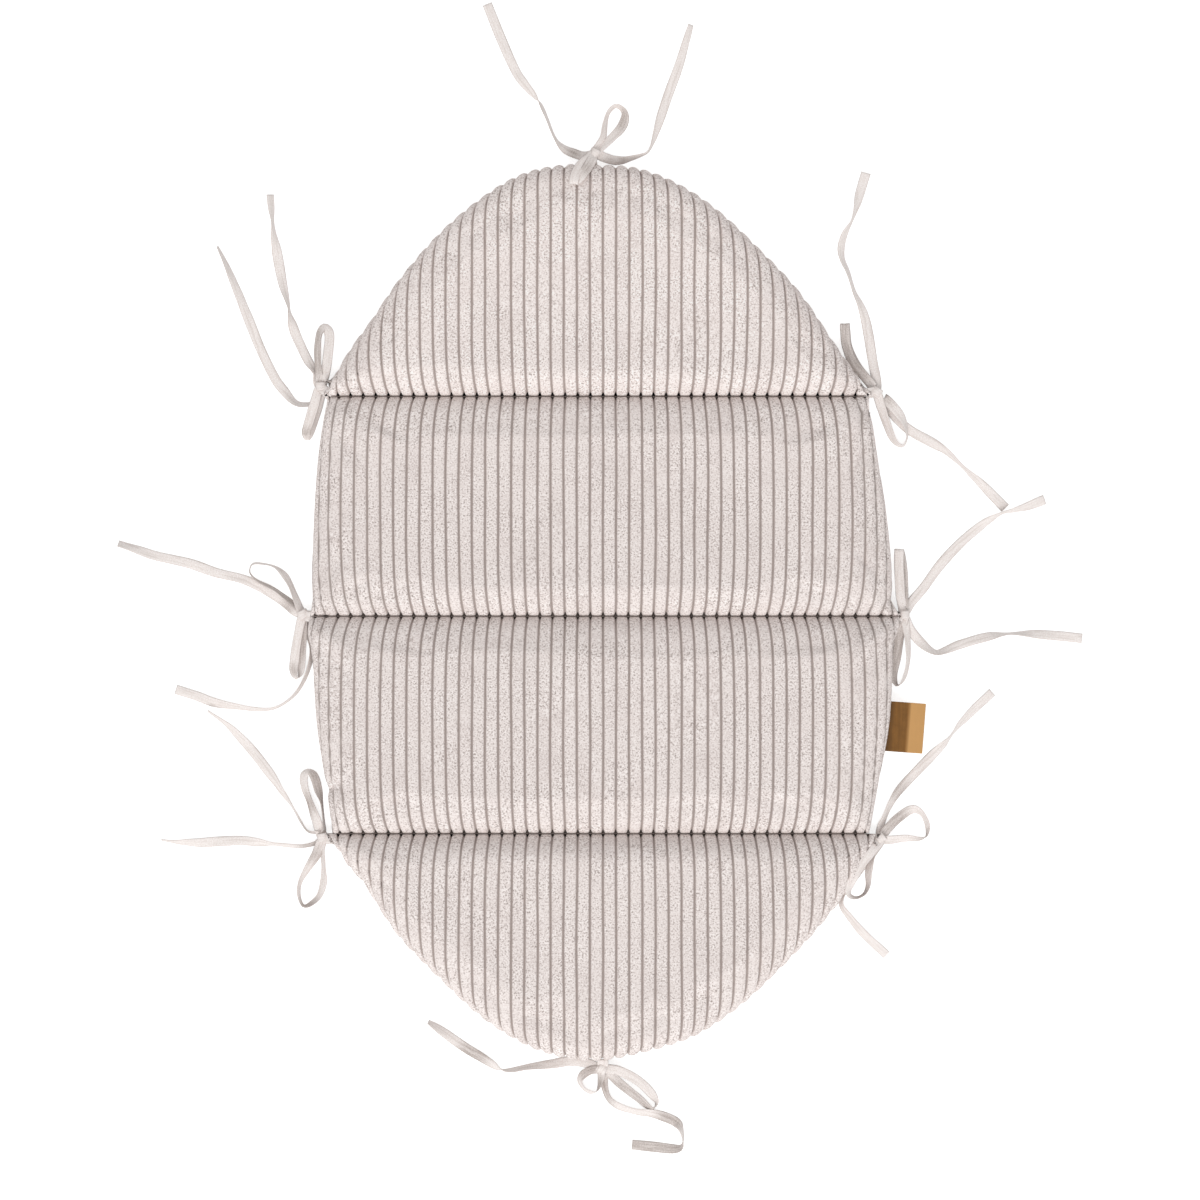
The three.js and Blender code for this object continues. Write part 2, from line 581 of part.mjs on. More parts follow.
// A flat strip along a route, its face kept level across the route
const strip = (route, width, thickness, steps, plain) => {
  const curve = new THREE.CatmullRomCurve3(route.map(fromPicture));
  curve.computeFrenetFrames = (count) => {
    const frames = { tangents: [], normals: [], binormals: [] };
    for (let i = 0; i <= count; i++) {
      const tangent = curve.getTangentAt(i / count);
      const across = new THREE.Vector3(0, 0, 1).cross(tangent).normalize();
      frames.tangents.push(tangent);
      frames.normals.push(tangent.clone().cross(across).negate());
      frames.binormals.push(across.clone());
    }
    return frames;
  };
  const [w, t] = [width / 2, thickness / 2];
  const [wf, tf] = [w * (1 - sectionFlatShare / 2), t * (1 - sectionFlatShare)];
  const eightSided = [[-t, -wf], [-tf, -w], [tf, -w], [t, -wf], [t, wf], [tf, w], [-tf, w], [-t, wf]];
  const sixSided = [[-t, -wf], [0, -w], [t, -wf], [t, wf], [0, w], [-t, wf]];
  const corners = plain ? sixSided : eightSided;
  const section = new THREE.Shape(corners.map(([x, y]) => new THREE.Vector2(x, y)));
  const options = { steps, bevelEnabled: false, extrudePath: curve };
  return solidFrom(new THREE.ExtrudeGeometry(section, options));
};

const knotAt = (knot, grown) => {
  const at = fromPicture(knot);
  const size = knotSize.map((radius) => radius + grown);
  const ball = new THREE.SphereGeometry(1, 8, 5).rotateX(quarterTurn);
  return solidFrom(ball.scale(...size).translate(at.x, at.y, at.z));
};

const bowOf = (tie, grown) => {
  const extra = 2 * grown;
  const pieces = [
    knotAt(tie.knot, grown),
    strip(tie.stub, tieWidth * sectionFlatShare + extra, loopThickness + extra, 2, true),
    ...tie.loops.map((loop) => strip(loop, loopWidth + extra, loopThickness + extra, loopSteps, true)),
  ];
  return pieces.reduce((whole, piece) => whole.add(piece));
};

for (const tie of ties) {
  add(tie.name + "_bow", bowOf(tie, 0), "tie");
  const grownBow = bowOf(tie, clearance);
  tie.tails.forEach((route, i) => {
    const tail = strip(route, tieWidth, tieThickness, tailSteps);
    add(tie.name + "_end_" + (i + 1), largest(tail.subtract(grownBow)), "tie");
  });
}

export default lounger;
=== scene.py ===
import math

import bmesh
import bpy
import numpy as np
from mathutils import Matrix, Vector
from mathutils.bvhtree import BVHTree


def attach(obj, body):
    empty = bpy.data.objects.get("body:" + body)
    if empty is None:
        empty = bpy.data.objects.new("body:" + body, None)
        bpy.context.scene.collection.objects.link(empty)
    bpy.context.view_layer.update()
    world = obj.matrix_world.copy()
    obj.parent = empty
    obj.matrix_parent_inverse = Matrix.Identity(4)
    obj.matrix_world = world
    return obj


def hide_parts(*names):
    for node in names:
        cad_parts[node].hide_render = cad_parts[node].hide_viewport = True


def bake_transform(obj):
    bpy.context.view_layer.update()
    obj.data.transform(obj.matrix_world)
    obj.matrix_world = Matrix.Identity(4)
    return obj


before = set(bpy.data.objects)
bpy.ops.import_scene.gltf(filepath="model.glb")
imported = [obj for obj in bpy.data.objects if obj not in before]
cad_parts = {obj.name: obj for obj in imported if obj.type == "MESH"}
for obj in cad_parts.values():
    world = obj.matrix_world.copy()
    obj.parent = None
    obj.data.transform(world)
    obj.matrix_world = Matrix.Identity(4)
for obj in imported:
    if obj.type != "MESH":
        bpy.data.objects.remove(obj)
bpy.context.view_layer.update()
mm = 0.001
scene = bpy.context.scene


# small helpers

def colour(code):
    parts = [int(code[i:i + 2], 16) / 255 for i in (1, 3, 5)]
    linear = [c / 12.92 if c <= 0.04045 else ((c + 0.055) / 1.055) ** 2.4 for c in parts]
    return (*linear, 1.0)


def addNode(tree, kind, links=None, output=0, **settings):
    # adds a node and gives back one of its outputs, or the node where it has none
    made = tree.nodes.new(kind)
    for name, value in settings.items():
        setattr(made, name, value)
    for name, value in (links or {}).items():
        if isinstance(value, bpy.types.NodeSocket):
            tree.links.new(value, made.inputs[name])
        else:
            made.inputs[name].default_value = value
    return made.outputs[output] if len(made.outputs) else made


def layColours(tree, under, *layers):
    # lays colours over one another, each by its share and, where one is given, its blend
    for share, over, *blend in layers:
        under, over = [colour(c) if isinstance(c, str) else c for c in (under, over)]
        under = addNode(tree, "ShaderNodeMix", {0: share, 6: under, 7: over}, 2,
                        data_type="RGBA", blend_type=blend[0] if blend else "MIX")
    return under


def newMaterial(name, paint, *given):
    # paint draws the pattern, and gives the shader's inputs and the bump's
    made = bpy.data.materials.new(name)
    made.use_nodes = True
    tree = made.node_tree
    tree.nodes.clear()
    sockets, relief = paint(tree, *given)
    if relief:
        bump = dict(zip(("Height", "Strength", "Distance"), relief))
        sockets["Normal"] = addNode(tree, "ShaderNodeBump", bump)
    shader = addNode(tree, "ShaderNodeBsdfPrincipled", sockets)
    addNode(tree, "ShaderNodeOutputMaterial", {"Surface": shader})
    return made


def shapeTree(name, floats, build):
    # a Geometry Nodes tree with named inputs, whose shape is made real and given its material
    tree = bpy.data.node_groups.new(name, "GeometryNodeTree")
    kinds = {"Geometry": "Geometry", **dict.fromkeys(floats, "Float"), "Material": "Material"}
    for label, kind in kinds.items():
        tree.interface.new_socket(label, in_out="INPUT", socket_type="NodeSocket" + kind)
    tree.interface.new_socket("Geometry", in_out="OUTPUT", socket_type="NodeSocketGeometry")
    given = addNode(tree, "NodeGroupInput").node.outputs
    real = addNode(tree, "GeometryNodeRealizeInstances", {"Geometry": build(tree, given)})
    faced = addNode(tree, "GeometryNodeSetMaterial", {"Geometry": real, "Material": given["Material"]})
    addNode(tree, "NodeGroupOutput", {0: faced})
    return tree


def addTree(made, tree, values):
    modifier = made.modifiers.new(tree.name, "NODES")
    modifier.node_group = tree
    for item in tree.interface.items_tree:
        if item.item_type == "SOCKET" and item.in_out == "INPUT" and item.name in values:
            modifier[item.identifier] = values[item.name]


def meshObject(name, points, faces):
    mesh = bpy.data.meshes.new(name)
    mesh.from_pydata([tuple(p) for p in np.asarray(points) * mm], [], faces)
    mesh.validate()
    mesh.polygons.foreach_set("use_smooth", [True] * len(mesh.polygons))
    mesh.update()
    made = bpy.data.objects.new(name, mesh)
    scene.collection.objects.link(made)
    return made


def tubeObject(name, rings):
    # rings of points joined to a tube with closed ends
    count, around = rings.shape[:2]
    quads = [(r * around + k, r * around + (k + 1) % around, (r + 1) * around + (k + 1) % around,
              (r + 1) * around + k) for r in range(count - 1) for k in range(around)]
    caps = [tuple(range(around))[::-1], tuple((count - 1) * around + k for k in range(around))]
    made = meshObject(name, rings.reshape(-1, 3), quads + caps)
    work = bmesh.new()
    work.from_mesh(made.data)
    bmesh.ops.recalc_face_normals(work, faces=work.faces)
    work.to_mesh(made.data)
    work.free()
    return made


def readPoints(made, field="co"):
    values = np.empty(len(made.data.vertices) * 3)
    made.data.vertices.foreach_get(field, values)
    return values.reshape(-1, 3)


def mark(made, **marks):
    # numbers or vectors kept on the points of a mesh
    for name, values in marks.items():
        kind, field = ("FLOAT", "value") if values.ndim == 1 else ("FLOAT_VECTOR", "vector")
        made.data.attributes.new(name, kind, "POINT").data.foreach_set(field, values.ravel())


def markCloth(made):
    # cloth patterns are held to these places, so that they stay on the cloth where a fold bends it
    # clothTip keeps how much the cloth faced the head end at rest, for the corduroy's painted light and
    # shade
    mark(made, clothPlace=readPoints(made), clothTip=readPoints(made, "normal")[:, 1])


def bakedMesh(made):
    # the evaluated shape as a plain mesh, with no modifier left
    evaluated = made.evaluated_get(bpy.context.evaluated_depsgraph_get())
    plain = bpy.data.meshes.new_from_object(evaluated)
    made.modifiers.clear()
    old = made.data
    made.data = plain
    bpy.data.meshes.remove(old)
    plain.name = made.name


# the camera looks straight down, as in the photograph

cameraView = {"distance": 4.0, "framedWidth": 0.984, "framedHeight": 0.008, "sensor": 36}
picture = {"scale": 0.82, "x": 603, "y": 612.5, "shift": 15, "middle": 600}


def fromPicture(px, py, z):
    return ((px - picture["x"]) * picture["scale"] - picture["shift"],
            (picture["y"] - py) * picture["scale"], z)


cameraData = bpy.data.cameras.new("camera")
cameraData.type = "PERSP"
cameraData.sensor_width = cameraView["sensor"]
cameraData.lens = cameraView["sensor"] * cameraView["distance"] / cameraView["framedWidth"]
camera = bpy.data.objects.new("camera", cameraData)
middle = fromPicture(picture["middle"], picture["middle"], 0)
camera.location = (middle[0] * mm, middle[1] * mm, cameraView["framedHeight"] + cameraView["distance"])
scene.collection.objects.link(camera)
scene.camera = camera
scene.view_settings.view_transform = "Standard"


# materials

# sizes in millimetres. Tufts and threads are drawn coarser than real ones, so that they show
cloth = {"napSize": 1.4, "smoothPatch": 21, "mottle": 38, "ribTone": 55, "threadSpacing": 0.9,
         "cottonTone": 11.11, "tapeThread": 0.9, "creaseLength": 28.57, "plies": 1.111,
         "tipShade": 0.07, "footTone": 0.985, "headTone": 1.085, "palest": 0.97}
hide = {"pores": 0.625, "clouds": 6.25, "streakWidth": 2.381, "streakLength": 25}


def paintCorduroy(tree):
    # Wide-wale cotton corduroy: cut pile, so soft, matt and flecked, with a bare ground in the wale gaps,
    # painted darker there partly for its own tone and partly as painted shade in the grooves
    place = addNode(tree, "ShaderNodeAttribute", output="Vector", attribute_name="clothPlace")
    rib, tip = [addNode(tree, "ShaderNodeAttribute", output="Fac", attribute_name=name)
                for name in ("ribPlace", "clothTip")]
    nearest = addNode(tree, "ShaderNodeMath", {0: rib}, operation="ROUND")
    away = addNode(tree, "ShaderNodeMath", {0: rib, 1: nearest}, operation="SUBTRACT")
    gap = addNode(tree, "ShaderNodeMath", {0: away}, operation="ABSOLUTE")
    # the pile lies this way and that in tufts, is mottled, and here and there is stroked flat
    nap, mottle, stroked = [
        addNode(tree, "ShaderNodeTexNoise",
                {"Vector": place, "Scale": 1000 / cloth[size], "Detail": detail, "Roughness": rough})
        for size, detail, rough in (
            ("napSize", 1.5, 0.6), ("mottle", 3.0, 0.55), ("smoothPatch", 2.0, 0.5))]
    # each rib keeps a tone of its own for a few centimetres
    number = addNode(tree, "ShaderNodeMath", {0: rib}, operation="FLOOR")
    along = addNode(tree, "ShaderNodeSeparateXYZ", {0: place}, "Y")
    steps = addNode(tree, "ShaderNodeMath", {0: along, 1: 1000 / cloth["ribTone"]}, operation="MULTIPLY")
    own = addNode(tree, "ShaderNodeCombineXYZ", {0: number, 1: steps})
    tone = addNode(tree, "ShaderNodeTexNoise", {"Vector": own, "Scale": 1.7, "Detail": 1.0},
                   noise_dimensions="2D")
    # painted light and shade: cloth that tips towards the foot end, where the lamp is, is painted lighter,
    # and cloth that tips to the head end darker; the cloth is also made paler towards the head end
    tipLightShare = cloth["tipShade"]
    dark, light, patch, toned, fleck, paintedTipLight, paler, groove = [
        addNode(tree, "ShaderNodeMapRange",
                {"Value": value, "From Min": low, "From Max": high, "To Min": first, "To Max": last},
                interpolation_type=kind)
        for value, low, high, first, last, kind in (
            (nap, 0.3, 0.47, 1.0, 0.0, "LINEAR"), (nap, 0.5, 0.66, 0.0, 1.0, "LINEAR"),
            (mottle, 0.35, 0.68, 0.0, 1.0, "LINEAR"), (tone, 0.3, 0.7, 0.0, 1.0, "LINEAR"),
            (stroked, 0.38, 0.6, 0.6, 1.0, "LINEAR"), (tip, -0.5, 0.5, 1 + tipLightShare, 1 - tipLightShare, "LINEAR"),
            (along, 0.04, 0.32, cloth["footTone"], cloth["headTone"], "SMOOTHSTEP"),
            (gap, 0.035, 0.12, 1.0, 0.0, "SMOOTHSTEP"))]
    darkShare, lightShare, shade = [
        addNode(tree, "ShaderNodeMath", {0: one, 1: other}, operation="MULTIPLY")
        for one, other in ((dark, fleck), (light, fleck), (paintedTipLight, paler))]
    # the wale gaps' colour is partly the bare ground and partly painted shade in the grooves
    face = layColours(tree, "#dfd4d0", (patch, "#e9deda"), (toned, "#eae0dc"), (darkShare, "#a0948f"),
                      (lightShare, "#fcf5f2"), (groove, "#aea29d"))
    shaded = addNode(tree, "ShaderNodeVectorMath", {0: face, "Scale": shade}, operation="SCALE")
    held = addNode(tree, "ShaderNodeVectorMath", {0: shaded, 1: (cloth["palest"],) * 3},
                   operation="MINIMUM")
    return {"Base Color": held, "Roughness": 0.95, "Sheen Weight": 0.25, "Sheen Roughness": 0.45,
            "Sheen Tint": colour("#fff6f0"), "Specular IOR Level": 0.2}, (nap, 0.7, 0.5 * mm)


# cotton without a pile is matt, with a faint fuzz
plainCloth = {"Roughness": 0.88, "Sheen Weight": 0.12, "Sheen Roughness": 0.5, "Specular IOR Level": 0.25}


def paintCotton(tree, base, shade):
    # Plain-woven cotton: threads over and under at right angles, matt, with a faint uneven tone
    place = addNode(tree, "ShaderNodeAttribute", output="Vector", attribute_name="clothPlace")
    bands = [addNode(tree, "ShaderNodeTexWave",
                     {"Vector": place, "Scale": 1000 / cloth["threadSpacing"] / 2, "Distortion": 0.6,
                      "Detail": 1.0, "Detail Scale": 0.5}, "Fac", bands_direction=way) for way in "XY"]
    weave = addNode(tree, "ShaderNodeMath", {0: bands[0], 1: bands[1]}, operation="MULTIPLY")
    tone = addNode(tree, "ShaderNodeTexNoise",
                   {"Vector": place, "Scale": 1000 / cloth["cottonTone"], "Detail": 4.0})
    even = addNode(tree, "ShaderNodeMapRange", {"Value": tone, "From Min": 0.3, "From Max": 0.7})
    face = layColours(tree, shade, (even, base), (0.25, weave, "SOFT_LIGHT"))
    return {"Base Color": face, **plainCloth}, (weave, 0.35, 0.15 * mm)


def paintTape(tree):
    # Folded and edge-stitched cotton tape: fine plain weave, matt, creased lengthwise with painted shade in
    # the creases, darker at its edges
    across, along, paintedShadeRow = [addNode(tree, "ShaderNodeAttribute", output="Fac", attribute_name=name)
                              for name in ("tapeAcross", "tapeAlong", "tapeDull")]
    place = addNode(tree, "ShaderNodeCombineXYZ", {0: across, 1: along})
    thread = cloth["tapeThread"]
    specks, crease = [
        addNode(tree, "ShaderNodeTexNoise",
                {"Vector": addNode(tree, "ShaderNodeMapping", {"Vector": place, "Scale": stretch}),
                 "Scale": scale, "Detail": 2.0})
        for stretch, scale in (((4.0 / thread, 1 / thread, 1.0), 0.9),
                               ((1.6, 1 / cloth["creaseLength"], 1.0), 1.2))]
    off = addNode(tree, "ShaderNodeMath", {0: across}, operation="ABSOLUTE")
    edge, fold, speck, uneven = [
        addNode(tree, "ShaderNodeMapRange",
                {"Value": value, "From Min": low, "From Max": high, "To Min": first, "To Max": last})
        for value, low, high, first, last in (
            (off, 0.8, 1.0, 0.0, 0.35), (crease, 0.36, 0.5, 0.4, 0.0),
            (specks, 0.35, 0.65, 0.0, 1.0), (crease, 0.35, 0.6, 0.95, 0.5))]
    # painted shade: the rows that lie in shade are painted greyer, unevenly so
    grey = addNode(tree, "ShaderNodeMath", {0: paintedShadeRow, 1: uneven}, operation="MULTIPLY")
    paintedShade = layColours(tree, "#aba09a", (speck, "#cbc0ba"))
    # the lengthwise creases are painted darker, as painted shade
    face = layColours(tree, "#e9dfda", (speck, "#faf4f1"), (fold, "#d2c6bf"), (edge, "#bdb0a9"),
                      (grey, paintedShade))
    return {"Base Color": face, **plainCloth}, (specks, 0.4, 0.25 * mm)


def paintLeather(tree):
    # Vegetable-tanned leather: smooth waxed grain with fine pores, paler on its bent part by the fold, as
    # painted highlight and rub wear, and painted darker by the mat's edge, as painted shade
    place = addNode(tree, "ShaderNodeTexCoord", output="Object")
    rubbed = addNode(tree, "ShaderNodeAttribute", output="Fac", attribute_name="rubbed")
    pores = addNode(tree, "ShaderNodeTexVoronoi", {"Vector": place, "Scale": 1000 / hide["pores"]})
    cloud = addNode(tree, "ShaderNodeTexNoise",
                    {"Vector": place, "Scale": 1000 / hide["clouds"], "Detail": 5.0})
    fine, long = 1000 / hide["streakWidth"], 1000 / hide["streakLength"]
    drawnOut = addNode(tree, "ShaderNodeMapping", {"Vector": place, "Scale": (fine, long, fine)})
    streaks = addNode(tree, "ShaderNodeTexNoise", {"Vector": drawnOut, "Scale": 1.0, "Detail": 3.0})
    # painted shade: where the share is below 0 the leather is painted darker, most by the mat's edge
    paintedShadeShare = addNode(tree, "ShaderNodeMath", {0: rubbed, 1: -1.0}, operation="MULTIPLY")
    face = layColours(tree, "#6d4718", (cloud, "#8b5f29"), (0.35, streaks, "OVERLAY"),
                      (rubbed, "#daa86c"), (paintedShadeShare, "#3f2708"))
    return {"Base Color": face, "Roughness": 0.5, "Specular IOR Level": 0.25, "Coat Weight": 0.03,
            "Coat Roughness": 0.4}, (pores, 0.3, 0.12 * mm)


def paintThread(tree):
    # Twisted cotton sewing thread: matt, with slanting plies
    place = addNode(tree, "ShaderNodeTexCoord", output="Object")
    plies = addNode(tree, "ShaderNodeTexWave", {"Vector": place, "Scale": 1000 / cloth["plies"]}, "Fac",
                    bands_direction="DIAGONAL")
    face = layColours(tree, "#b9aba2", (plies, "#d9cdc5"))
    return {"Base Color": face, "Roughness": 0.8, "Sheen Weight": 0.1}, None


corduroy = newMaterial("cottonCorduroy", paintCorduroy)
lining = newMaterial("cottonLining", paintCotton, "#e4d9d4", "#dacfc9")
# painted shade: dark cotton for the flat faces that close the backs, seen only in the shade between the
# pads
paintedShadeCotton = newMaterial("cottonPaintedSeamShade", paintCotton, "#6f6560", "#5f5651")
# painted shade: the seam folds are painted darker than the covers' cloth
paintedShadeSeamFold = newMaterial("cottonSeamFoldPaintedShade", paintCotton, "#a99d98", "#958984")
tapeCotton = newMaterial("cottonTape", paintTape)
leather = newMaterial("waxedLeather", paintLeather)
thread = newMaterial("sewingThread", paintThread)
print("materials made")


# the ties: each is two cotton tapes, sewn in together and knotted in a bow

tape = {"width": 8, "thickness": 0.9, "step": 1.5, "fineStep": 0.3, "floorGap": 0.15,
        "wrinkle": 0.3, "wrinkleLength": 5.0, "wrinkleAcross": 1.6, "edgeWave": 0.35,
        "edgeWaveLength": 6.5, "widthWave": 0.05, "widthWaveLength": 11.0}
knot = {"radius": 3.1, "growth": 0.9, "width": 7.2, "thickness": 1.3, "turns": 1.3, "steps": 40,
        "slide": 0.8}

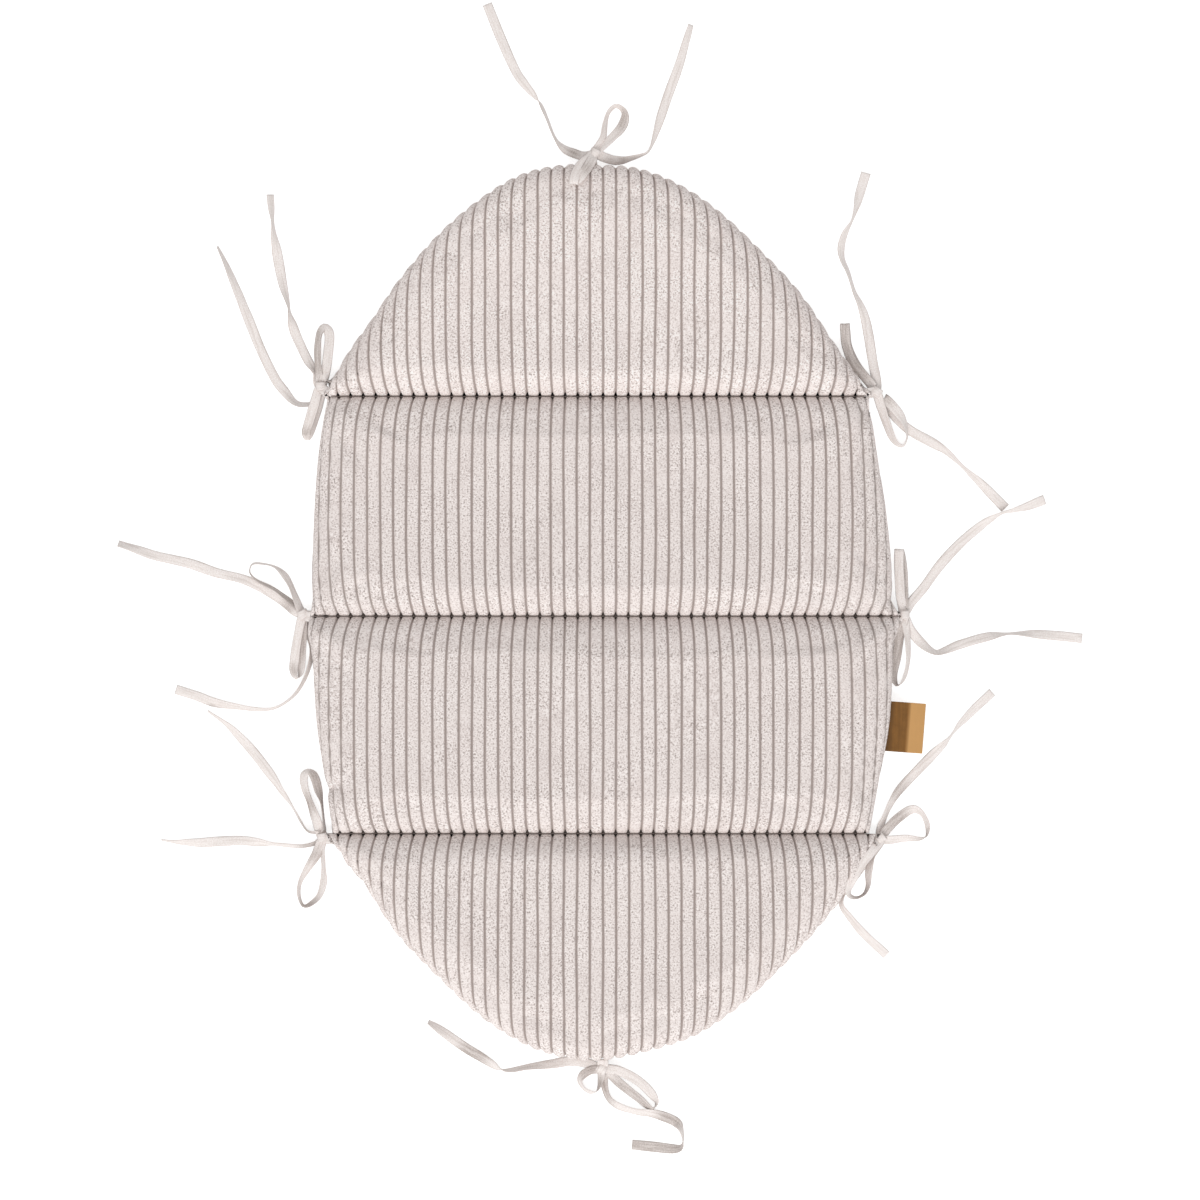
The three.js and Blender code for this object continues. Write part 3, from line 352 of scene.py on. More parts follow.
# Every tape runs from its sewn end through the knot, round its loop and back through the knot to
# its free end. Points are two picture points, the height in millimetres and the turn in degrees.
# A list for each tape names the rows where it lies in shade in creases; there it is painted greyer, as
# painted shade.
ties = {
    "headTie": {
        "body": "head_panel", "node": "head_tie", "knot": (594, 154, 12), "loopTurn": 60,
        "paintedShade": ([8, 9, 14], [10]),
        "tapes": [
            [(592.5, 166, 13.2, 0), (592, 160.5, 13, 0), (594, 154, 12, 20), (598, 147, 10.5, 40),
             (603, 137, 8, 48), (605, 124, 5.6, 52), (609, 111.5, 4.6, 66), (616.5, 105.5, 4.4, 72),
             (624.5, 112, 4.4, 52), (622.5, 125, 5, 12), (613, 137, 7, 22), (601, 148, 10.5, 30),
             (594, 154.5, 12, 10), (583, 156, 8.4, 15), (574, 153, 5, 10), (563, 147.5, 2, 40),
             (556, 139, 1.5, 68), (547, 119, 1.5, 72), (540, 103, 1.5, 76), (535, 96, 1.5, 118),
             (526, 85, 1.2, 150), (517, 73, 1, 172), (501, 38, 1, 180), (487, 3, 1, 180)],
            [(590, 166, 13.2, 0), (590.5, 161, 13.4, 0), (593, 155, 14, 0), (588, 160, 21, -8),
             (580, 168, 28, -3), (575.5, 177, 32.4, 0), (574, 184.6, 33.6, 0), (573.9, 186.4, 32.6, 0),
             (574.5, 184.6, 31.6, 0), (580, 180, 31.2, 5), (586.5, 171, 27, 15), (592, 161, 20, 18),
             (595, 154.5, 13, 10),
             (606, 158, 7.5, 5), (616, 160, 4, 12), (629, 158.5, 2, 58), (646, 153, 1.5, 80),
             (651, 146, 1.5, 78), (656, 132, 1.4, 48), (667, 98, 1, 12), (680, 62, 1, 22),
             (691, 24, 1, 55)],
        ],
    },
    "headLeftTie": {
        "body": "head_panel", "node": "head_left_tie", "knot": (321, 387, 7.5), "loopTurn": 90,
        "paintedShade": ([3, 4, 5], [5]),
        "tapes": [
            [(330.5, 396, 12.8, 0), (326, 391.6, 11.6, 0), (321, 387, 8, 20), (318.5, 370, 7.5, -38),
             (317.5, 350, 6.5, -38), (319, 333, 5.6, -45), (324, 327, 5.2, -30), (329, 333, 6, -5),
             (328.5, 350, 7.6, 5), (325.5, 372, 8.6, 0), (321, 386, 7.6, 0), (318, 383, 5.4, 10),
             (315, 373, 3.8, 60), (308, 361, 1.6, 20), (301, 347, 1, 5), (294, 331, 1, 10),
             (289.5, 313, 1.5, 72), (288.5, 307, 1.5, 80), (283, 287, 1.2, 25), (278, 261, 1, 0),
             (274, 238, 1, 45), (272.6, 224, 1.4, 76), (271, 209, 1.2, 50), (269.6, 194, 1.2, 42)],
            [(329.8, 394, 12.8, 0), (325.6, 391, 12.2, 0), (320, 388, 8.4, 0), (314.5, 404, 8.4, 0),
             (309, 422, 7.6, 0), (306, 433, 6.4, 15), (307.5, 437.5, 5, 45), (311, 433, 3.6, 60),
             (314.5, 420, 3.4, 40), (318.5, 403, 4.4, 20), (321, 389, 6.6, 0), (312, 403, 2.8, 60),
             (303, 405, 1.2, 62), (295, 402.5, 1, 50), (285, 392, 1, 20), (275.5, 380, 1, 5),
             (261, 351, 1, 0), (251, 326.5, 1, 0), (236.5, 290, 1, 35), (226, 265, 1, 60),
             (217.3, 246, 1.3, 82)],
        ],
    },
    "headRightTie": {
        "body": "head_panel", "node": "head_right_tie", "knot": (876, 392, 7.5), "loopTurn": 55,
        "paintedShade": ([3, 4, 5, 6, 7, 8, 9, 10, 11, 12], [10]),
        "tapes": [
            [(865.5, 394.4, 12.8, 0), (870.2, 393.2, 11.6, 0), (875.5, 391, 8, 10),
             (866, 378, 6.8, 5), (854, 364, 5.8, 5), (846.8, 346, 5.4, 3), (845.1, 330, 5.2, 0),
             (844.9, 324.4, 4.6, 0), (845, 323, 3.7, 0), (845.1, 324.4, 2.8, 0),
             (845.6, 330, 2.6, 0), (847.6, 346, 2.8, 0), (856, 364, 3.8, 5), (868.5, 381, 5.6, 8),
             (876, 389, 7, 0), (876.5, 380, 4, 0), (873, 360, 1, 0),
             (869, 335, 1, 0), (865.5, 318, 1, 10), (860, 303, 1.2, 46), (855, 292, 1.5, 62),
             (848, 272, 1.5, 60), (842.5, 259, 1.2, 50), (841.5, 248, 1, 35), (845, 234, 1.5, 52),
             (851.5, 222, 1.5, 78), (855, 212, 1.4, 60), (860, 194, 1, 15), (866.5, 172, 1, 0)],
            [(866, 393.2, 12.8, 0), (870.6, 392.4, 12, 0), (876, 392, 8.4, 0), (881, 406, 6.6, 25),
             (887, 424, 5, 35), (895, 441, 4.6, 55), (903, 446, 4.4, 75), (907.5, 438, 4.4, 82),
             (905, 424, 5.4, 50), (897, 411, 6.6, 10), (884, 398, 7.4, 0), (889, 408, 3, 0),
             (900, 421, 1.4, 0), (912, 431, 1, 5), (930, 441, 1, 10), (945, 450, 1.2, 45),
             (957, 461, 1.5, 72), (966, 469, 1.4, 68), (980, 482, 1.2, 35), (995, 497, 1, 5),
             (1006, 508, 1, 0)],
        ],
    },
    "middleLeftTie": {
        "body": "lower_panel", "node": "middle_left_tie", "knot": (303, 615, 7.5), "loopTurn": 115,
        "paintedShade": ([8, 9, 10, 11, 14], [5, 8, 9, 11]),
        "tapes": [
            [(314, 615.5, 12.8, 0), (309.4, 615.5, 11.4, 0), (303, 614, 8, 30), (295, 597, 6.8, 50),
             (286, 577, 5.6, 52), (276, 567.5, 5, 72), (262, 563.5, 4.8, 80), (252, 564, 4.6, 80),
             (249.5, 572, 4.5, 88), (257, 580, 4.6, 100), (276, 590.5, 5, 110), (292, 603, 6.4, 120),
             (302, 613.5, 7.4, 160), (295, 611.5, 4.4, 172), (288, 606, 2, 165),
             (277, 597.5, 1.2, 168), (262, 588, 1, 172), (243, 579.5, 1, 188), (215, 572.5, 1, 180),
             (189, 563.5, 1, 178), (152, 555, 1, 190), (134, 548.5, 1, 215), (117.5, 543.5, 1, 230)],
            [(313.6, 616.6, 12.8, 0), (309, 616.6, 12, 0), (303, 616, 8.6, 10), (298, 636, 7.4, 15),
             (294.5, 658, 6, 12), (293.5, 672, 5, 35), (297, 678.5, 4.6, 80), (300.5, 672, 4.4, 130),
             (302, 650, 4.4, 150), (303.5, 618, 6.6, 165), (309, 634, 3, 150), (311.5, 650, 1.6, 118),
             (308, 670, 1.5, 112), (299, 689, 1.5, 108), (286, 702, 1.5, 102), (272, 709, 1.5, 108),
             (256, 709, 1.4, 116), (230, 706, 1.2, 136), (212, 702, 1.1, 158), (197, 696.5, 1, 176),
             (175, 689.5, 1, 180)],
        ],
    },
    "middleRightTie": {
        "body": "lower_panel", "node": "middle_right_tie", "knot": (904, 615.5, 7.5), "loopTurn": 90,
        "paintedShade": ([9, 10, 11], [3, 4, 5, 6]),
        "tapes": [
            [(892, 616.5, 12.8, 0), (896.6, 616.5, 11.4, 0), (903, 614, 8, 10), (900.5, 595, 7.6, 8),
             (899.3, 572, 7, 4), (899.2, 556, 6.6, 2), (899.4, 550.6, 6, 0), (899.4, 549.2, 5, 0),
             (899.5, 550.6, 4, 0), (901, 556, 3.6, 0), (903.4, 575, 3.8, 10), (904, 595, 5, 20),
             (905, 611, 7, 20),
             (912, 602, 3, 10), (924, 588, 1, 0), (940, 566, 1, 0), (958, 546, 1, 0),
             (976, 530, 1.1, 15), (992, 518.5, 1.4, 50), (1004, 512.5, 1.5, 74),
             (1013, 510.5, 1.4, 66), (1028, 506, 1.2, 30), (1045.5, 499.5, 1, 10)],
            [(892.4, 617.6, 12.8, 0), (897, 617.6, 12, 0), (904, 616.5, 8.6, 0), (900, 636, 6.4, -20),
             (896.5, 658, 4.6, -15), (894, 676, 4.2, -35), (897.5, 685.5, 4.2, -75),
             (903.5, 680, 4.4, -110), (908, 664, 5, -120), (908.5, 645, 5.6, -125),
             (905, 618.5, 7.2, -170), (911, 630, 3, -182), (920, 641, 1, -188),
             (928.5, 649, 1.1, -218), (937, 652.6, 1.3, -234), (947, 650, 1.2, -218),
             (960, 644.8, 1.1, -198), (985, 637.5, 1.2, -208), (1007, 634, 1.5, -252),
             (1022, 633.6, 1.4, -236), (1040, 634.5, 1, -206), (1060, 636, 1, -184),
             (1083, 638.5, 1, -178)],
        ],
    },
    "footLeftTie": {
        "body": "foot_panel", "node": "foot_left_tie", "knot": (322.5, 838, 7.5), "loopTurn": 100,
        "paintedShade": ([4, 8, 9, 10, 14, 15], [3, 7, 8, 14, 15]),
        "tapes": [
            [(335.6, 837.6, 12.8, 0), (330.4, 837.7, 11.6, 0), (322.5, 837, 8, 10),
             (316, 819, 6.8, -10), (309.5, 802, 5.4, -45), (304.5, 787, 4.8, -35),
             (303.5, 776, 4.5, -30), (308, 771, 4.4, -60), (313.5, 776, 4.6, -30), (318, 790, 5, -35),
             (321.5, 803, 6, -75), (323.5, 822, 6.6, -80), (323, 834, 7.2, -60), (316, 833, 5, -70),
             (308, 831.5, 3, -72), (302, 824, 1.8, -76), (292, 807, 1.4, -74), (280, 789, 1.2, -45),
             (268, 772, 1, -15), (255, 755, 1, 0), (243, 741, 1, -15), (230, 728, 1, -45),
             (219, 719, 1.2, -70), (207.5, 711, 1.5, -76)],
            [(335.2, 838.8, 12.8, 0), (330, 839, 12.2, 0), (323, 839.5, 8.6, 0), (316, 855, 6.8, -10),
             (308, 868, 5.4, -35), (300, 882, 4.8, -65), (298.8, 895, 4.5, -72), (303, 906, 4.4, -80),
             (309.5, 905, 4.4, -65), (318.5, 897, 4.4, -50), (323, 882, 5, -40), (323.5, 866, 6, -60),
             (322, 850, 6.6, -60), (322, 841.5, 7, -30), (316, 843.5, 4, -55), (305, 846, 1.6, -62),
             (292, 846, 1.2, -68), (274.5, 844.5, 1.2, -66), (258, 842.5, 1, -30), (238, 841, 1, 0),
             (216, 842, 1, 0), (196, 843, 1, -25), (180, 842.5, 1.2, -55), (171, 841.5, 1.4, -72),
             (161, 840, 1.5, -76)],
        ],
    },
    "footRightTie": {
        "body": "foot_panel", "node": "foot_right_tie", "knot": (880, 838, 9), "loopTurn": 35,
        "paintedShade": ([3, 4, 8, 14], [8, 9, 16]),
        "tapes": [
            [(869, 838.3, 12.8, 0), (874, 838.3, 12, 0), (880, 837.5, 9.4, 0), (888.5, 827.5, 7.4, 20),
             (900, 817, 5.4, 10), (913, 809.5, 4.6, 25), (922.5, 814, 4.4, 58), (928, 826, 4.4, 62),
             (925.5, 837.5, 4.6, 95), (907, 838.5, 6.2, 138), (882, 839, 8.4, 165), (881, 829, 5, 200),
             (884.5, 818, 2.4, 235), (890.5, 804.5, 1.4, 228), (899, 791.5, 1, 205),
             (914, 775, 1, 184), (931, 757.5, 1, 190), (943, 745, 1.3, 225), (951, 736.5, 1.5, 252),
             (960, 725, 1.4, 235), (975, 709, 1.1, 205), (993, 692.5, 1, 190)],
            [(869.4, 839.5, 12.8, 0), (874, 839.6, 12.6, 0), (880, 839.5, 11, 0),
             (872, 850, 17.5, -20), (862, 862, 21, -25), (853, 876, 21, -20), (848, 887, 19, -25),
             (850, 895, 16, -60), (857, 897, 13, -80), (864.5, 893, 10, -75), (868.5, 884, 8, -60),
             (868.5, 872, 7.4, -45), (873, 856, 7.6, -60), (880, 843, 8, -30), (873, 852, 4.4, 0),
             (863, 865, 2, 0), (852, 880, 1.2, 10), (843.5, 893, 1.4, 50), (841.5, 905, 1.4, 62),
             (850, 918, 1.2, 45), (865, 935, 1, 35), (887, 955.5, 1, 25)],
        ],
    },
    "footTie": {
        "body": "foot_panel", "node": "foot_tie", "knot": (602, 1068, 9), "loopTurn": -30,
        "paintedShade": ([3, 4, 9, 17, 18], [7, 8, 9, 11, 12, 16, 17, 20, 21, 22, 23]),
        "tapes": [
            [(602, 1058.6, 12.9, 0), (602, 1062.8, 12.2, 0), (601, 1068, 9.4, 0), (592, 1070, 7.2, 30),
             (584, 1074.5, 5.4, 25), (580, 1081, 4.6, 55), (584, 1089, 4.4, 70), (591, 1093, 4.4, 66),
             (597, 1091.5, 4.6, 90), (600, 1083, 5.6, 115), (600.5, 1071, 8.4, 160),
             (590, 1064.5, 4, 175), (572, 1062, 1.2, 180), (551, 1064.5, 1, 208),
             (530, 1067.5, 1.2, 234), (505, 1070.5, 1.5, 256), (494, 1066, 1.2, 330),
             (481, 1058, 1, 350), (466, 1049, 1, 358), (455, 1041.5, 1, 368), (443, 1032.5, 1.1, 390),
             (428, 1022, 1.3, 430)],
            [(603.5, 1058.8, 12.9, 0), (603.5, 1063, 12.6, 0), (603.5, 1068, 9.8, 0),
             (618, 1070.5, 8.6, 5), (636, 1079.5, 7.6, 0), (649, 1091, 6.6, 10),
             (656.5, 1103, 5.2, 60), (652, 1109, 4.4, 120), (638, 1098, 5, 150),
             (621, 1084.5, 6.4, 160), (605, 1071, 8, 172), (604, 1084, 3.4, 222),
             (608.5, 1098, 1.6, 230), (619, 1107, 1.2, 218), (636, 1112, 1, 225), (651, 1114, 1, 205),
             (664, 1117.5, 1, 184), (676, 1123, 1, 172), (681.5, 1130, 1.4, 120),
             (683.5, 1140, 1.5, 102), (681, 1148, 1.3, 60), (672, 1149.5, 1.1, 20), (656, 1148, 1, 5),
             (632, 1145.5, 1, 0)],
        ],
    },
}


def smoothRoute(rows, step):
    # a smooth curve through the rows, at equal steps along its first three values
    rows = np.array(rows, float)
    reach = np.r_[0, np.cumsum(np.linalg.norm(np.diff(rows[:, :3], axis=0), axis=1))]
    slope = np.empty_like(rows)
    slope[1:-1] = (rows[2:] - rows[:-2]) / (reach[2:] - reach[:-2])[:, None]
    slope[0] = (rows[1] - rows[0]) / (reach[1] - reach[0])
    slope[-1] = (rows[-1] - rows[-2]) / (reach[-1] - reach[-2])
    at = np.linspace(0, reach[-1], int(reach[-1] / tape["fineStep"]))
    i = np.clip(np.searchsorted(reach, at, "right") - 1, 0, len(rows) - 2)
    span = (reach[i + 1] - reach[i])[:, None]
    t = (at[:, None] - reach[i][:, None]) / span
    fine = ((2 * t ** 3 - 3 * t ** 2 + 1) * rows[i] + (t ** 3 - 2 * t ** 2 + t) * span * slope[i]
            + (3 * t ** 2 - 2 * t ** 3) * rows[i + 1] + (t ** 3 - t ** 2) * span * slope[i + 1])
    run = np.r_[0, np.cumsum(np.linalg.norm(np.diff(fine[:, :3], axis=0), axis=1))]
    even = np.linspace(0, run[-1], int(round(run[-1] / step)) + 1)
    return np.column_stack([np.interp(even, run, fine[:, k]) for k in range(fine.shape[1])])


def waves(seed, *steps):
    # a smooth random field between -1 and 1, from a few sines with seeded phases
    source = np.random.default_rng(seed)
    total = 0
    for _ in range(5):
        phase = source.uniform(0, 2 * math.pi)
        weights = source.uniform(0.5, 1.6, len(steps)) * source.choice([-1, 1], len(steps))
        total = total + np.sin(phase + sum(w * s for w, s in zip(weights, steps)))
    return total / 3.2


def unit(vectors):
    return vectors / np.maximum(np.linalg.norm(vectors, axis=1), 1e-9)[:, None]


def sweepTape(name, centres, across, outward, width, thickness, seed):
    # a flat woven tape along its centres: a rounded oblong section, creased and a little wavy
    sides = np.array([-1, -0.86, -0.5, 0, 0.5, 0.86, 1, 0.86, 0.5, 0, -0.5, -0.86])
    faces = np.array([0, 0.75, 0.95, 0.85, 0.95, 0.75, 0, -0.75, -0.95, -0.85, -0.95, -0.75])
    run = np.arange(len(centres))[:, None] * tape["step"]
    s = np.repeat(sides[None, :], len(centres), 0)
    wrinkle = tape["wrinkle"] * waves(seed, run / tape["wrinkleLength"] + 0 * s,
                                      s * tape["wrinkleAcross"] + 0 * run)
    edge = tape["edgeWave"] * waves(seed + 1, run / tape["edgeWaveLength"] + 0 * s) * np.abs(s) ** 3
    half = width / 2 * (1 + tape["widthWave"] * waves(seed + 2, run / tape["widthWaveLength"]))
    points = (centres[:, None, :] + across[:, None, :] * (s * half)[:, :, None]
              + outward[:, None, :] * (faces[None, :] * thickness / 2 + wrinkle + edge)[:, :, None])
    points[:, :, 2] = np.maximum(points[:, :, 2], tape["floorGap"])
    made = tubeObject(name, points)
    mark(made, tapeAcross=s.ravel(), tapeAlong=(run + 0 * s).ravel())
    made.data.materials.append(tapeCotton)
    return made


def makeTape(name, rows, paintedShade, seed):
    rows = [(*fromPicture(px, py, z), turn, float(k in paintedShade)) for k, (px, py, z, turn) in enumerate(rows)]
    path = smoothRoute(rows, tape["step"])
    turn = np.radians(path[:, 3])
    standing = tape["width"] / 2 * np.abs(np.sin(turn)) + tape["thickness"] / 2 + tape["floorGap"]
    path[:, 2] = np.maximum(path[:, 2], standing)
    centres = path[:, :3]
    along = unit(np.gradient(centres, axis=0))
    level = unit(np.cross([0, 0, 1], along))
    # where the tape is folded flat on itself it turns back, and its width keeps its side
    kept = np.where((level[1:] * level[:-1]).sum(1) < 0, -1, 1)
    level *= np.cumprod(np.r_[1, kept])[:, None]
    up = np.cross(along, level)
    across = level * np.cos(turn)[:, None] + up * np.sin(turn)[:, None]
    made = sweepTape(name, centres, across, np.cross(along, across), tape["width"], tape["thickness"], seed)
    around = len(made.data.vertices) // len(path)
    # the rows that lie in shade are marked for painted shade
    mark(made, tapeDull=np.repeat(np.clip(path[:, 4], 0, 1), around))
    return made, centres, float(np.linalg.norm(np.diff(centres, axis=0), axis=1).sum())


def makeKnot(name, centre, turnDegrees, seed):
    # the tape wound round the middle of the bow
    axis = np.array([math.cos(math.radians(turnDegrees)), math.sin(math.radians(turnDegrees)), 0])
    side = np.array([-axis[1], axis[0], 0])
    share = np.linspace(0, 1, knot["steps"])
    angle = 2 * math.pi * knot["turns"] * share + math.pi / 2
    radius = knot["radius"] + knot["growth"] * share
    outward = side[None, :] * np.cos(angle)[:, None] + np.array([0, 0, 1])[None, :] * np.sin(angle)[:, None]
    slide = axis[None, :] * (knot["slide"] * (2 * share - 1))[:, None]
    centres = np.array(centre)[None, :] + outward * radius[:, None] + slide
    across = np.repeat(axis[None, :], knot["steps"], 0)
    return sweepTape(name, centres, across, outward, knot["width"], knot["thickness"], seed)


tapeLengths = {}
for order, (name, tie) in enumerate(ties.items()):
    band = makeKnot(name + "Knot", fromPicture(*tie["knot"]), tie["loopTurn"], 70 + order)
    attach(band, tie["body"])
    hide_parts(tie["node"] + "_bow")
    for side, rows in enumerate(tie["tapes"]):
        tapeName = name + ("FirstTape", "SecondTape")[side]
        made, centres, length = makeTape(tapeName, rows, tie["paintedShade"][side], 10 * order + side)
        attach(made, tie["body"])
        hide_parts(tie["node"] + "_end_" + str(side + 1))
        tapeLengths[tapeName] = round(length)
print("ties made, millimetres:", tapeLengths)


# the four padded panels

mat = {
    "halfWidth": 238, "headLength": 190, "upperLength": 180, "lowerLength": 178, "footLength": 186,
    "seamHeight": 13, "thickness": 30, "edgeRoll": 20, "seamRoll": 24, "seamSwell": 2.5,
    "seamSteep": 0.62, "noseGap": 0.12, "coverGap": 0.3, "drawShare": 0.035, "drawReach": 17,
    "cornerStart": 2, "foldReach": 15.5, "seamEase": 5, "backEase": 6, "uneven": 0.5,
    "unevenX": 38, "unevenY": 30, "wrinkle": 0.5, "wrinkleX": 16, "wrinkleY": 13,
}
ribs = {
    "pitch": 10.7, "grooveDepth": 2.0, "grooveReach": 0.165, "crown": 0.3, "endRound": 1.4,
    "nap": 0.2, "napSize": 2.1, "seamRound": 0.22, "seamRoundReach": 1.6, "seamDeeper": 0.25,
    "belowShare": 0.15, "endDeeper": 0.6, "endReach": 2.6, "roundReach": 4.0, "backFade": 0.45,
    "wander": 0.3, "wanderLength": 24.0, "rowStep": 2.0, "edgeStep": 1.05,
}
ribColumns = [0, 0.045, 0.09, 0.14, 0.2, 0.3, 0.42, 0.58, 0.7, 0.8, 0.86, 0.91, 0.955]
seamRows = np.array([0, 0.009, 0.027, 0.07, 0.135, 0.23, 0.37, 0.56, 0.79, 1])
rollAngles = np.radians([0, 8, 18, 29, 40, 52, 65, 78, 90])
rollStops = mat["edgeRoll"] * (1 - np.cos(rollAngles))

headArch = [
    (-0.965, 0), (-0.876, 0.194), (-0.797, 0.332), (-0.7, 0.509), (-0.562, 0.707), (-0.424, 0.853),
    (-0.286, 0.957), (-0.148, 0.998), (0, 1), (0.128, 0.983), (0.266, 0.914), (0.403, 0.797),
    (0.541, 0.634), (0.679, 0.448), (0.817, 0.194), (0.93, 0)]
footArch = [
    (-0.95, 0), (-0.879, 0.14), (-0.824, 0.221), (-0.772, 0.327), (-0.7, 0.46), (-0.562, 0.642),
    (-0.424, 0.805), (-0.286, 0.92), (-0.148, 0.985), (0, 1), (0.197, 0.947), (0.334, 0.881),
    (0.472, 0.761), (0.61, 0.597), (0.748, 0.407), (0.886, 0.173), (0.945, 0)]
# the left and right edge of each middle panel: place along it and half width, as shares
sideCurves = {
    "upper": ([(0, 0.948), (0.25, 0.978), (0.5, 0.993), (0.75, 1.001), (0.93, 1.002), (1, 1.008)],
              [(0, 0.914), (0.25, 0.942), (0.5, 0.972), (0.75, 0.992), (0.93, 1), (1, 1.026)]),
    "lower": ([(0, 1.008), (0.07, 1.016), (0.14, 1.006), (0.25, 0.998), (0.5, 0.985), (0.75, 0.957),
               (1, 0.931)],
              [(0, 1.026), (0.07, 1.018), (0.13, 1), (0.25, 0.997), (0.5, 0.985), (0.75, 0.951),
               (1, 0.916)]),
}
# where the ties pull at the cloth: picture point, reach, pull and depth in millimetres
puckers = [
    (868, 412, 7, 6.0, 9.0), (857, 389, 6, 5.0, 6.0), (334, 787, 6, 5.0, 7.0), (888, 600, 7, 5.0, 6.0),
    (319, 598, 7, 1.6, 1.6), (893, 630, 8, 1.8, 2.0), (336, 402, 7, 1.6, 1.6), (590, 168, 8, 1.6, 1.5),
    (345, 849, 7, 1.4, 1.5), (861, 852, 7, 1.4, 1.5)]
seamOne = (mat["upperLength"] + mat["lowerLength"] + mat["footLength"] - mat["headLength"]) / 2
seamTwo = seamOne - mat["upperLength"]
seamThree = seamTwo - mat["lowerLength"]
frontRise = mat["thickness"] - mat["seamHeight"]

# how much longer the cloth is than its plan over the rolled edge, by distance from the edge
rollAngle = np.linspace(0, math.pi / 2, 200)
rollPlan = mat["edgeRoll"] * (1 - np.cos(rollAngle))
rollArc = np.r_[0, np.cumsum(np.hypot(np.diff(rollPlan), np.diff(frontRise * np.sin(rollAngle))))]
rollExcess = (rollArc[-1] - rollArc) - (mat["edgeRoll"] - rollPlan)


def excessAt(distance):
    return np.interp(distance, rollPlan, rollExcess)


def drawnIn(distance):
    # the cloth is drawn together beside a seam
    return 1 - mat["drawShare"] * np.exp(-np.asarray(distance) / mat["drawReach"])


def edgeRise(distance):
    share = np.clip(distance / mat["edgeRoll"], 0, 1)
    return np.sqrt(np.clip(1 - (1 - share) ** 2, 0, 1))


def seamRise(distance):
    share = np.clip(distance / mat["seamRoll"], 0, 1)
    return (1 - (1 - share) ** mat["seamSwell"]) ** mat["seamSteep"]


def smoothLine(shares, scaleX, scaleY, steps=6):
    # a smooth curve through points that are given as shares
    points = np.array(shares) * [scaleX, scaleY]
    padded = np.vstack([points[:1], points, points[-1:]])
    t = (np.arange(steps) / steps)[:, None]
    spans = []
    for i in range(len(points) - 1):
        a, b, c, d = padded[i:i + 4]
        v, w = (c - a) / 2, (d - b) / 2
        spans.append((2 * b - 2 * c + v + w) * t ** 3 + (3 * c - 3 * b - 2 * v - w) * t ** 2 + v * t + b)
    return np.vstack(spans + [points[-1:]])


def nearEdge(x, y, line):
    # distance to a line and the sideways part of its outward normal, for many points at once
    starts = line[:-1]
    steps = line[1:] - starts
    best, normalX = np.full(x.shape, np.inf), np.zeros(x.shape)
    for (startX, startY), (stepX, stepY) in zip(starts, steps):
        size = math.hypot(stepX, stepY)
        t = np.clip(((x - startX) * stepX + (y - startY) * stepY) / size ** 2, 0, 1)
        gap = np.hypot(x - startX - t * stepX, y - startY - t * stepY)
        closer = gap < best
        best = np.where(closer, gap, best)
        normalX = np.where(closer, -stepY / size, normalX)
    return best, normalX


def ribStops(first, last):
    # rib places of the columns, with most of them at the grooves
    margin = 0.03
    inner = [k + part for k in range(math.floor(first), math.ceil(last) + 1) for part in ribColumns]
    return np.array([first, *[u for u in inner if first + margin < u < last - margin], last])


def archGrid(length, shares):
    # the grid of an end panel: columns follow the ribs, rows run from the seam to the arched edge
    leastOut, roomShare, easeIn, rounds = 0.42, 1.25, 3, 14
    edge = smoothLine(shares, mat["halfWidth"], length)
    start = mat["noseGap"] + mat["cornerStart"]
    top = int(np.argmax(edge[:, 1]))
    leftX = np.interp(start, edge[:top, 1], edge[:top, 0])
    rightX = np.interp(start, edge[top:][::-1, 1], edge[top:][::-1, 0])
    line = np.vstack([[leftX, start], edge[edge[:, 1] > start], [rightX, start]])
    tangent = np.gradient(line, axis=0)
    size = np.hypot(tangent[:, 0], tangent[:, 1])
    outX, outY = -tangent[:, 1] / size, tangent[:, 0] / size
    flat = line[:, 0] / drawnIn(line[:, 1]) + outX * rollExcess[0]
    flat = np.maximum.accumulate(flat + np.arange(len(flat)) * 1e-6)
    stops = ribStops(flat[0] / ribs["pitch"], flat[-1] / ribs["pitch"])
    endX, endY, endOut = [np.interp(stops * ribs["pitch"], flat, values) for values in (*line.T, outY)]
    middleRows = int((length - mat["seamRoll"] - mat["edgeRoll"]) / ribs["rowStep"])
    rows = []
    for y, slant in zip(endY, 1 / np.maximum(endOut, leastOut)):
        room = y - mat["noseGap"]
        fit = min(1, room / (roomShare * (mat["seamRoll"] + mat["edgeRoll"] * slant)))
        low = seamRows * mat["seamRoll"] * fit
        high = room - rollStops[::-1] * slant * fit
        between = np.linspace(low[-1], high[0], middleRows + 2)[1:-1]
        rows.append(mat["noseGap"] + np.r_[low, between, high])
    y = np.array(rows).T
    u = np.repeat(stops[None, :], y.shape[0], 0)
    target = u * ribs["pitch"]
    # the x at which the cloth, laid flat, has this rib place, found by halving
    peak = int(np.argmax(line[:, 1]))
    low = np.interp(y, line[:peak + 1, 1], line[:peak + 1, 0])
    high = np.interp(y, line[peak:][::-1, 1], line[peak:][::-1, 0])
    for _ in range(rounds):
        x = (low + high) / 2
        gap, normalX = nearEdge(x, y, line)
        value = x / drawnIn(y) + normalX * excessAt(gap)
        low, high = np.where(value < target, x, low), np.where(value < target, high, x)
    x = (low + high) / 2
    x[-1] = endX
    ease = np.clip((y - mat["noseGap"]) / easeIn, 0, 1)
    x = x * ease + (1 - ease) * np.clip(target * drawnIn(y), x.min(1)[:, None], x.max(1)[:, None])
    x[:, 0], x[:, -1] = endX[0], endX[-1]
    gap, _ = nearEdge(x, y, line)
    gap[-1] = gap[:, 0] = gap[:, -1] = 0
    seamGap = y - mat["noseGap"]
    return x, y, u, edgeRise(gap) * seamRise(seamGap), seamGap, gap


